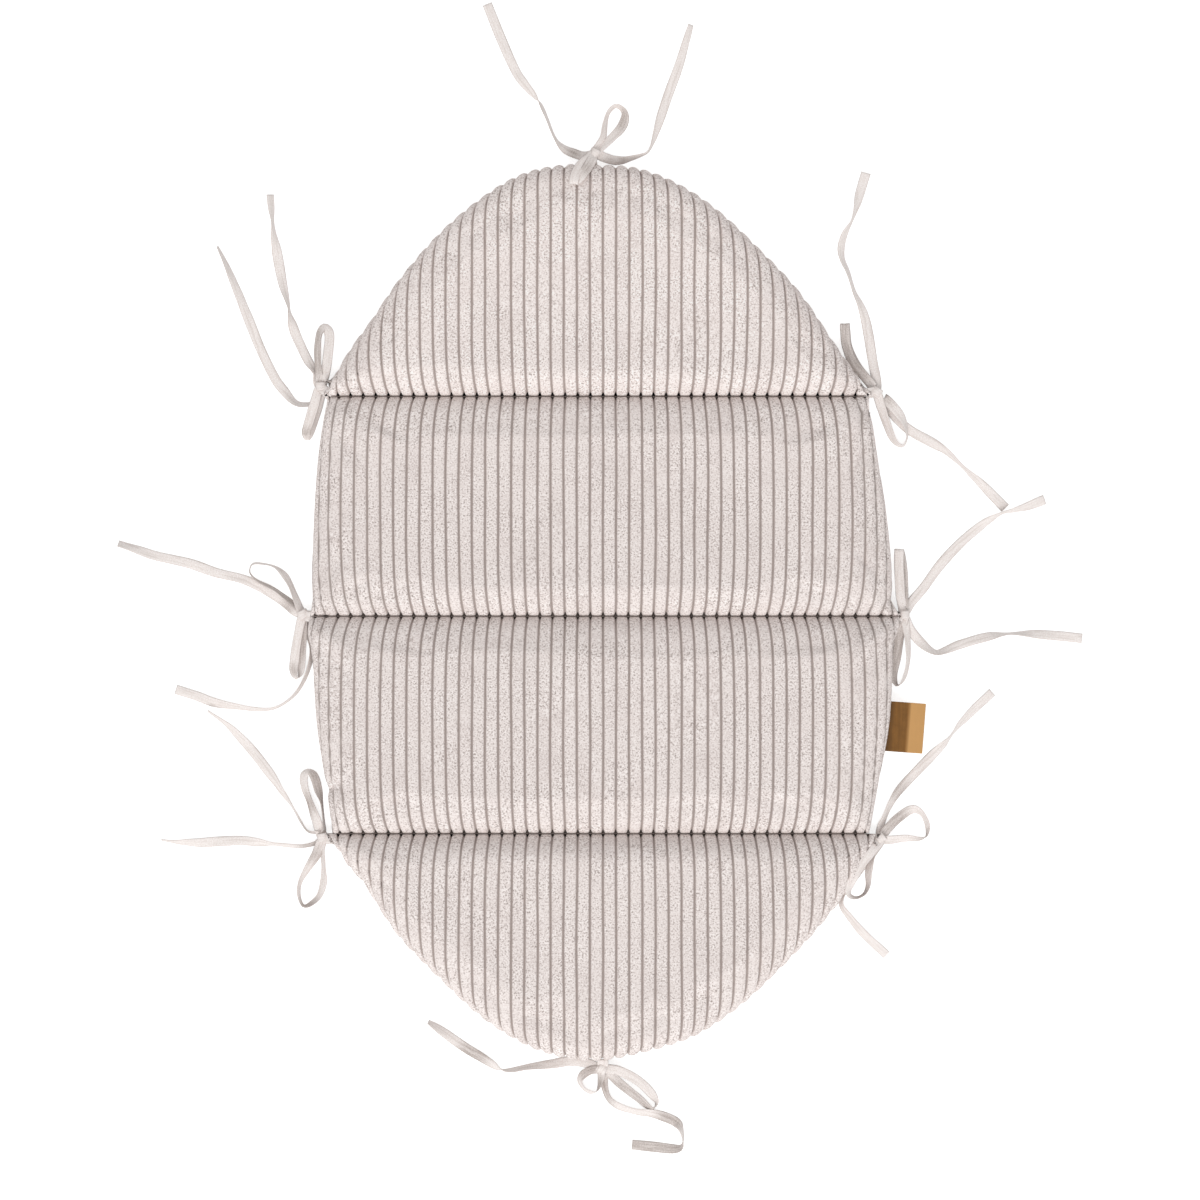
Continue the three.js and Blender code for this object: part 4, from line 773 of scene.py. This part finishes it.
def middleGrid(length, curves):
    # the grid of a middle panel: columns follow the ribs, and its sides are rolled edges
    sideMargin, noEnd = 8, 1000.0
    low = seamRows * mat["seamRoll"]
    count = int((length - 2 * mat["seamRoll"]) / ribs["rowStep"])
    room = length - 2 * mat["noseGap"]
    between = np.linspace(low[-1], room - low[-1], count + 2)[1:-1]
    out = mat["noseGap"] + np.r_[low, between, (room - low)[::-1]]
    halves = [np.interp(out, *smoothLine(shares, length, mat["halfWidth"]).T) for shares in curves]
    draw = drawnIn(out) * drawnIn(length - out)
    inner = math.floor((min(h.min() for h in halves) - mat["edgeRoll"] - sideMargin) / ribs["pitch"])
    stops = ribStops(-inner, inner)
    start = inner * ribs["pitch"] * draw
    wings = []
    for half in halves:
        count = int((half.max() - start.min() - mat["edgeRoll"]) / ribs["edgeStep"])
        fractions = np.linspace(0, 1, count + 1)[1:-1]
        flatPart = start[:, None] + (half - mat["edgeRoll"] - start)[:, None] * fractions[None, :]
        # more columns over the roll, so that the grooves that cross it stay smooth
        marks = np.arange(2 * len(rollStops) - 1) / 2
        dense = np.interp(marks, np.arange(len(rollStops)), rollStops[::-1])
        wings.append(np.hstack([flatPart, half[:, None] - dense[None, :]]))
    core = stops[None, :] * ribs["pitch"] * draw[:, None]
    x = np.hstack([-wings[0][:, ::-1], core, wings[1]])
    y = np.repeat(out[:, None], x.shape[1], 1)
    gap = np.maximum(np.where(x < 0, halves[0][:, None] + x, halves[1][:, None] - x), 0)
    u = (x / draw[:, None] + np.sign(x) * excessAt(gap)) / ribs["pitch"]
    near, far = y - mat["noseGap"], length - mat["noseGap"] - y
    rise = edgeRise(gap) * seamRise(near) * seamRise(far)
    return x, y, u, rise, np.minimum(near, far), np.full(x.shape, noEnd)


def buildRibs(tree, given):
    # sinks the grooves between the ribs along the surface normal, and roughens the pile
    place, amount, nearEnd, outward = [
        addNode(tree, "GeometryNodeInputNamedAttribute", {"Name": name}, data_type=kind)
        for name, kind in (("ribPlace", "FLOAT"), ("ribAmount", "FLOAT"), ("ribEnd", "FLOAT"),
                           ("outward", "FLOAT_VECTOR"))]
    nearest = addNode(tree, "ShaderNodeMath", {0: place}, operation="ROUND")
    away = addNode(tree, "ShaderNodeMath", {0: place, 1: nearest}, operation="SUBTRACT")
    gap = addNode(tree, "ShaderNodeMath", {0: away}, operation="ABSOLUTE")
    groove = addNode(tree, "ShaderNodeMapRange",
                     {"Value": gap, "From Min": 0.0, "From Max": given["Groove Reach"], "To Min": 1.0,
                      "To Max": 0.0}, interpolation_type="SMOOTHERSTEP")
    sunk = addNode(tree, "ShaderNodeMath", {0: groove, 1: given["Groove Depth"]}, operation="MULTIPLY")
    middle = addNode(tree, "ShaderNodeMath", {0: gap, 1: -2.0, 2: 1.0}, operation="MULTIPLY_ADD")
    curve = addNode(tree, "ShaderNodeMath", {0: middle, 1: 2.0}, operation="POWER")
    rounding = addNode(tree, "ShaderNodeMath", {0: nearEnd, 1: given["End Round"], 2: given["Crown"]},
                       operation="MULTIPLY_ADD")
    drop = addNode(tree, "ShaderNodeMath", {0: curve, 1: rounding, 2: sunk}, operation="MULTIPLY_ADD")
    noise = addNode(tree, "ShaderNodeTexNoise", {"Scale": given["Nap Scale"], "Detail": 2.0})
    rough = addNode(tree, "ShaderNodeMath", {0: noise, 1: 2.0, 2: -1.0}, operation="MULTIPLY_ADD")
    nap = addNode(tree, "ShaderNodeMath", {0: rough, 1: given["Nap"]}, operation="MULTIPLY")
    both = addNode(tree, "ShaderNodeMath", {0: nap, 1: drop}, operation="SUBTRACT")
    move = addNode(tree, "ShaderNodeMath", {0: both, 1: amount}, operation="MULTIPLY")
    offset = addNode(tree, "ShaderNodeVectorMath", {0: outward, "Scale": move}, operation="SCALE")
    return addNode(tree, "GeometryNodeSetPosition", {"Geometry": given["Geometry"], "Offset": offset})


corduroyRibs = shapeTree(
    "corduroyRibs", ["Groove Depth", "Groove Reach", "Crown", "End Round", "Nap", "Nap Scale"], buildRibs)
# the inner pressure that fills the pads, with lengths in millimetres
swelling = {"voxel": 5, "pressure": 4, "frames": 20, "quality": 5, "bending": 0.3, "pinned": 4,
            "leastRise": 0.2, "above": 200, "cap": 2.5, "share": 0.8}


def surfaceOf(made):
    return BVHTree.FromPolygons([v.co.copy() for v in made.data.vertices],
                                [tuple(p.vertices) for p in made.data.polygons])


def swell(made, rise):
    # cloth under a light inner pressure, pinned along its edges, gives the pad its uneven crown
    work = made.copy()
    work.data = made.data.copy()
    work.name = made.name + "Swell"
    work.modifiers.clear()
    scene.collection.objects.link(work)
    remesh = work.modifiers.new("remesh", "REMESH")
    remesh.mode = "VOXEL"
    remesh.voxel_size = swelling["voxel"] * mm
    bakedMesh(work)
    before = surfaceOf(work)
    pins = work.vertex_groups.new(name="pins")
    edge = (mat["seamHeight"] + swelling["pinned"]) * mm
    pins.add([v.index for v in work.data.vertices if v.co.z < edge], 1.0, "REPLACE")
    press = work.modifiers.new("cloth", "CLOTH")
    press.settings.quality = swelling["quality"]
    press.settings.vertex_group_mass = "pins"
    press.settings.use_pressure = True
    press.settings.uniform_pressure_force = swelling["pressure"]
    press.settings.effector_weights.gravity = 0
    press.settings.bending_stiffness = swelling["bending"]
    press.point_cache.frame_start = 1
    press.point_cache.frame_end = swelling["frames"]
    for number in range(1, swelling["frames"] + 1):
        scene.frame_set(number)
    bakedMesh(work)
    after = surfaceOf(work)
    scene.frame_set(1)
    lift = []
    for vertex, share in zip(made.data.vertices, rise):
        start = Vector((vertex.co.x, vertex.co.y, swelling["above"] * mm))
        one, two = [surface.ray_cast(start, Vector((0, 0, -1)))[0] for surface in (before, after)]
        skipped = one is None or two is None or share < swelling["leastRise"]
        lift.append(0 if skipped else two.z - one.z)
    bpy.data.objects.remove(work)
    lift = np.clip(np.array(lift), -swelling["cap"] * mm, swelling["cap"] * mm)
    print("  swell of", made.name, "mm:", np.round(lift.min() / mm, 2), np.round(lift.max() / mm, 2))
    return lift * swelling["share"] * rise


def gridPiece(name, points, side, face, amount, u, ends, fabric):
    # a cover with its border closed by one flat face. Its ribs stand along the surface normals,
    # which are level round the border
    rows, columns = points.shape[:2]
    index = np.arange(rows * columns).reshape(rows, columns)
    border = [*index[0], *index[1:, -1], *index[-1, -2::-1], *index[-2:0:-1, 0]]
    normals = np.cross(np.gradient(points, axis=1), np.gradient(points, axis=0)) * side * face
    normals = unit(normals.reshape(-1, 3))
    loop = points.reshape(-1, 3)[border, :2]
    tangent = np.roll(loop, -1, 0) - np.roll(loop, 1, 0)
    level = np.column_stack([tangent[:, 1], -tangent[:, 0], np.zeros(len(loop))])
    level *= np.sign(((loop - loop.mean(0)) * level[:, :2]).sum())
    normals[border] = unit(level)
    quads = np.stack([index[:-1, :-1], index[:-1, 1:], index[1:, 1:], index[1:, :-1]], -1).reshape(-1, 4)
    if side * face < 0:
        quads, border = quads[:, ::-1], border[::-1]
    made = meshObject(name, points.reshape(-1, 3), [tuple(q) for q in quads] + [tuple(border[::-1])])
    made.data.polygons[-1].use_smooth = False
    mark(made, ribPlace=u.ravel(), ribAmount=amount.ravel(), ribEnd=ends.ravel(), outward=normals)
    addTree(made, corduroyRibs, {
        "Groove Depth": ribs["grooveDepth"] * mm, "Groove Reach": ribs["grooveReach"],
        "Crown": ribs["crown"] * mm, "End Round": ribs["endRound"] * mm, "Nap": ribs["nap"] * mm,
        "Nap Scale": 1000 / ribs["napSize"], "Material": fabric})
    return made


def makePanel(name, grid, seamY, side, seed):
    x, out, u, rise, seamGap, endGap = grid
    y = seamY + side * out
    x = x - picture["shift"]
    # the ribs wander a little where the cloth isn't held, and the filling is uneven
    loose = np.clip(rise * 1.5 - 0.3, 0, 1)
    x = x + waves(seed, out / ribs["wanderLength"], u * 0.9) * ribs["wander"] * loose
    uneven = mat["uneven"] * waves(seed + 1, x / mat["unevenX"], out / mat["unevenY"]) * rise ** 2
    sunk = np.zeros(x.shape)
    for px, py, reach, pull, depth in puckers:
        centreX, centreY, _ = fromPicture(px, py, 0)
        weight = np.exp(-((x - centreX) ** 2 + (y - centreY) ** 2) / reach ** 2)
        ease = weight * np.clip(seamGap / mat["seamEase"], 0, 1)
        x = x + pull * ease * (centreX - x) / reach
        y = y + pull * ease * (centreY - y) / reach
        sunk += depth * ease * np.clip(rise * 2, 0, 1)
    top = mat["seamHeight"] + mat["coverGap"] / 2 + frontRise * rise + (uneven - sunk)
    # above a seam the rib ends are rounder and the grooves deeper than below it
    share = np.where((side > 0) | (out > out.max() / 2), 1, ribs["belowShare"])
    deeper = (1 + ribs["endDeeper"] * np.exp(-endGap / ribs["endReach"])
              + ribs["seamDeeper"] * share * np.exp(-seamGap / ribs["endReach"]))
    ends = np.maximum(np.exp(-endGap / ribs["roundReach"]),
                      ribs["seamRound"] * share * np.exp(-seamGap / ribs["seamRoundReach"]))
    front = gridPiece(name + "Front", np.stack([x, y, top], -1), side, 1, deeper, u, ends, corduroy)
    places = readPoints(front)
    places[:, 2] += swell(front, rise.ravel())
    front.data.vertices.foreach_set("co", places.ravel())
    front.data.update()
    bakedMesh(front)

    # the plain back: flat where it lies, with its edges rolled up to the seam
    under = mat["seamHeight"] - mat["coverGap"] / 2
    wrinkle = 1 + waves(seed + 2, x / mat["wrinkleX"], out / mat["wrinkleY"])
    depth = under * (1 - rise) + mat["wrinkle"] * wrinkle * rise * (1 - rise) * 2
    fade = np.clip(1 - rise / ribs["backFade"], 0, 1) * deeper * np.clip(seamGap / mat["backEase"], 0, 1)
    back = gridPiece(name + "Back", np.stack([x, y, depth], -1), side, -1, fade, u, ends, lining)
    bakedMesh(back)
    # the flat face that closes the back is painted dark, as painted shade
    back.data.materials.append(paintedShadeCotton)
    back.data.polygons[-1].material_index = 1
    return front, back


def foldAlong(piece):
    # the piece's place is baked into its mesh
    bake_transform(piece)


panelPlans = {
    "head": (archGrid(mat["headLength"], headArch), seamOne, 1, ["head_edge_seam"]),
    "upper": (middleGrid(mat["upperLength"], sideCurves["upper"]), seamOne, -1,
              ["upper_left_edge_seam", "upper_right_edge_seam"]),
    "lower": (middleGrid(mat["lowerLength"], sideCurves["lower"]), seamTwo, -1,
              ["lower_left_edge_seam", "lower_right_edge_seam"]),
    "foot": (archGrid(mat["footLength"], footArch), seamThree, -1, ["foot_edge_seam"]),
}
# the panel that each panel folds against, where, and on which side of that seam it lies
folds = {"head": ("upper", seamOne, 1), "upper": ("lower", seamTwo, 1), "foot": ("lower", seamThree, -1)}
for order, (name, (grid, seamY, side, edgeSeams)) in enumerate(panelPlans.items()):
    front, back = makePanel(name, grid, seamY, side, 200 + 10 * order)
    for piece, nodes, slotName in (
            (front, [name + "_front_cover", name + "_filling", *edgeSeams], "corduroy"),
            (back, [name + "_back_cover"], "backing")):
        markCloth(piece)
        if name in folds:
            foldAlong(piece)
        else:
            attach(piece, name + "_panel")
        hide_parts(*nodes)
    print("panel", name, "made:", len(front.data.polygons), "and", len(back.data.polygons), "faces")


# the cross seams, with a row of stitches behind

crossSeam = {"halfThickness": 0.45, "reach": 1.0, "sunk": 0.4, "step": 0.8, "around": 10, "pinch": 0.12,
             "pinchLength": 4.0, "endInset": 3, "lift": 2.6, "notchFrom": 0.1, "notchTo": 0.26,
             "stitchPitch": 3.4, "stitchLength": 2.5, "stitchRadius": 0.34, "stitchInset": 4,
             "stitchDrop": 0.1}


def buildStitches(tree, given):
    # short rounded stitches set along a line of points
    ball = addNode(tree, "GeometryNodeMeshUVSphere", {"Segments": 8, "Rings": 6, "Radius": 1.0})
    half = addNode(tree, "ShaderNodeMath", {0: given["Length"], 1: 0.5}, operation="MULTIPLY")
    size = addNode(tree, "ShaderNodeCombineXYZ", {0: half, 1: given["Radius"], 2: given["Radius"]})
    turn = addNode(tree, "ShaderNodeCombineXYZ", {2: given["Turn"]})
    return addNode(tree, "GeometryNodeInstanceOnPoints",
                   {"Points": given["Geometry"], "Instance": ball, "Rotation": turn, "Scale": size})


stitchRow = shapeTree("stitchRow", ["Length", "Radius", "Turn"], buildStitches)


def makeStitches(name, points, turn):
    made = meshObject(name, points, [])
    addTree(made, stitchRow, {"Length": crossSeam["stitchLength"] * mm, "Turn": turn, "Material": thread,
                              "Radius": crossSeam["stitchRadius"] * mm})
    bakedMesh(made)
    return made


def makeCrossSeam(name, y, left, right):
    # the two covers pressed together between two pads, painted darker as painted shade in the seam
    x = np.arange(left, right + crossSeam["step"] / 2, crossSeam["step"])
    around = np.linspace(0, 2 * math.pi, crossSeam["around"], endpoint=False)[None, :]
    pinch = (1 + crossSeam["pinch"] * waves(400, x / crossSeam["pinchLength"]))[:, None]
    # the fold stands up between the ribs and drops at every groove
    place = x / ribs["pitch"] / drawnIn(0)
    toRib = np.abs(place - np.round(place))
    notch = np.interp(toRib, [crossSeam["notchFrom"], crossSeam["notchTo"]], [0, 1])
    lift = crossSeam["lift"] * notch[:, None] * np.clip(np.sin(around) + 0.5, 0, 1.5) / 1.5
    made = tubeObject(name, np.stack([
        np.repeat(x[:, None], crossSeam["around"], 1) - picture["shift"],
        y + crossSeam["halfThickness"] * np.cos(around) * pinch,
        mat["seamHeight"] - crossSeam["sunk"] + lift + crossSeam["reach"] * np.sin(around) * pinch], -1))
    made.data.materials.append(paintedShadeSeamFold)
    markCloth(made)
    return made


# where each cross seam lies, how far it reaches to the left and right, and what it rides on
seamPlans = {
    "head": (seamOne, *[curve[0][1] for curve in sideCurves["upper"]], "upper_panel"),
    "middle": (seamTwo, *[curve[0][1] for curve in sideCurves["lower"]], "lower_panel"),
    "foot": (seamThree, *[curve[-1][1] for curve in sideCurves["lower"]], "lower_panel"),
}
for name, (y, leftShare, rightShare, body) in seamPlans.items():
    left = -leftShare * mat["halfWidth"] + crossSeam["endInset"]
    right = rightShare * mat["halfWidth"] - crossSeam["endInset"]
    seam = makeCrossSeam(name + "CrossSeam", y, left, right)
    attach(seam, body)
    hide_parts(name + "_cross_seam")
    inset = crossSeam["stitchInset"]
    xs = np.arange(left + inset, right - inset, crossSeam["stitchPitch"]) - picture["shift"]
    z = mat["seamHeight"] - crossSeam["sunk"] - crossSeam["reach"] - crossSeam["stitchDrop"]
    stitches = makeStitches(name + "SeamStitches", [(v, y, z) for v in xs], 0.0)
    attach(stitches, body)
print("cross seams made")


# the leather tag

tag = {"width": 30, "length": 41, "layer": 0.9, "slit": 0.3, "sewn": 8, "bendShare": 0.57, "droop": 2.2,
       "turn": -4.3, "y": -93, "shift": -1, "rows": 28, "wave": 0.22, "waveLength": 9.0, "bevel": 0.22,
       "bevelFrom": 50, "threadRadius": 0.4, "threadGap": 0.3}
# painted light on the leather by its distance from the mat: below 0 it is darker, most by the mat's edge,
# as painted shade; above 0 paler, on the bent part by the fold, as painted highlight and rub wear
tagRubAndPaintedLight = ([0, 6, 16.4, 17.6], [-0.7, -0.06, -0.1, 0.75])
tagHalf = tag["layer"] + tag["slit"] / 2


def tagPlace(x, y, z):
    turn = math.radians(tag["turn"])
    along = (seamTwo - tag["y"]) / mat["lowerLength"]
    edge = np.interp(along, *np.array(sideCurves["lower"][1]).T) * mat["halfWidth"] - picture["shift"]
    return (x * math.cos(turn) - y * math.sin(turn) + edge + tag["shift"],
            x * math.sin(turn) + y * math.cos(turn) + tag["y"], z + mat["seamHeight"])


def makeTag():
    # one strip folded in two, its open ends sewn into the edge and its free part drooping
    bend = tag["width"] * tag["bendShare"]
    foldX = tag["width"] - tagHalf
    stops = np.r_[np.linspace(-tag["sewn"], bend, 12), np.linspace(bend, foldX, 12)[1:]]
    droop = tag["droop"] * (np.maximum(stops - bend, 0) / (tag["width"] - bend)) ** 1.3
    fold = np.radians(np.linspace(90, -90, 9))[1:-1]
    profile = []
    # the outside from its top round the fold to its bottom, then the inside back the same way
    for half, way in ((tagHalf, 1), (tag["slit"] / 2, -1)):
        profile += [(x, way * half - d) for x, d in zip(stops, droop)]
        profile += [(foldX + half * math.cos(a), half * math.sin(a) - droop[-1]) for a in way * fold]
        profile += [(x, -way * half - d) for x, d in zip(stops[::-1], droop[::-1])]
    rings = []
    for y in np.linspace(-0.5, 0.5, tag["rows"]) * tag["length"]:
        wave = tag["wave"] * math.sin(y / tag["waveLength"] + 0.6)
        rings.append([tagPlace(x, y, z + wave * max(0, x) / tag["width"]) for x, z in profile])
    made = tubeObject("leatherTag", np.array(rings))
    # the leather is marked for painted shade near the mat, and for painted highlight and rub wear on its
    # bent part
    mark(made, rubbed=np.tile(np.interp([x for x, _ in profile], *tagRubAndPaintedLight), tag["rows"]))
    bevel = made.modifiers.new("edges", "BEVEL")
    bevel.width, bevel.segments, bevel.limit_method = tag["bevel"] * mm, 2, "ANGLE"
    bevel.angle_limit = math.radians(tag["bevelFrom"])
    bakedMesh(made)
    made.data.materials.append(leather)
    return made


leatherTag = makeTag()
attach(leatherTag, "lower_panel")
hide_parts("leather_tag")
tagStitches = makeStitches(
    "tagStitches",
    [tagPlace(tag["threadRadius"] - tag["sewn"], y, tagHalf + tag["threadGap"] + tag["threadRadius"])
     for y in np.arange(-tag["length"] / 2 + 2, tag["length"] / 2 - 1, crossSeam["stitchPitch"])],
    math.radians(90 + tag["turn"]))
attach(tagStitches, "lower_panel")
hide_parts("tag_stitching")
print("tag made")


# floor, lamp and world

studio = {"floorSize": 8, "keyPower": 218, "keySize": 3.4, "keyPlace": (-0.7, -4.2, 5.6),
          "skyStrength": 0.65, "floorGlow": 0.66, "floorGap": 0.0003}


def raysOf(tree, *kinds):
    # 1 for rays of the named kinds and 0 for the light that falls on things
    rays = addNode(tree, "ShaderNodeLightPath").node.outputs
    share = rays[kinds[0]]
    for kind in kinds[1:]:
        share = addNode(tree, "ShaderNodeMath", {0: share, 1: rays[kind]}, operation="MAXIMUM")
    return share


def paintFloor(tree):
    # Matt white paper, lit up where it is looked at, so that the ground is white in the picture
    seen = raysOf(tree, "Is Camera Ray", "Is Glossy Ray")
    glow = addNode(tree, "ShaderNodeMath", {0: seen, 1: studio["floorGlow"]}, operation="MULTIPLY")
    return {"Base Color": colour("#ececec"), "Roughness": 1.0, "Emission Color": colour("#ffffff"),
            "Emission Strength": glow}, None


half = studio["floorSize"] / 2 / mm
floor = meshObject("floor", [(-half, -half, 0), (half, -half, 0), (half, half, 0), (-half, half, 0)],
                   [(0, 1, 2, 3)])
floor.location.z = -studio["floorGap"]
floor.data.materials.append(newMaterial("paleFloor", paintFloor))

world = bpy.data.worlds.new("studio")
scene.world = world
world.use_nodes = True
sky = world.node_tree
sky.nodes.clear()
through = raysOf(sky, "Is Camera Ray", "Is Glossy Ray", "Is Transmission Ray")
strength = addNode(sky, "ShaderNodeMapRange",
                   {"Value": through, "To Min": studio["skyStrength"], "To Max": 1.0})
background = addNode(sky, "ShaderNodeBackground", {"Color": colour("#ffffff"), "Strength": strength})
addNode(sky, "ShaderNodeOutputWorld", {"Surface": background})

keyData = bpy.data.lights.new("key", "AREA")
keyData.energy = studio["keyPower"]
keyData.size = studio["keySize"]
key = bpy.data.objects.new("key", keyData)
key.location = studio["keyPlace"]
key.rotation_euler = (-Vector(studio["keyPlace"])).to_track_quat("-Z", "Y").to_euler()
scene.collection.objects.link(key)
print("studio made")
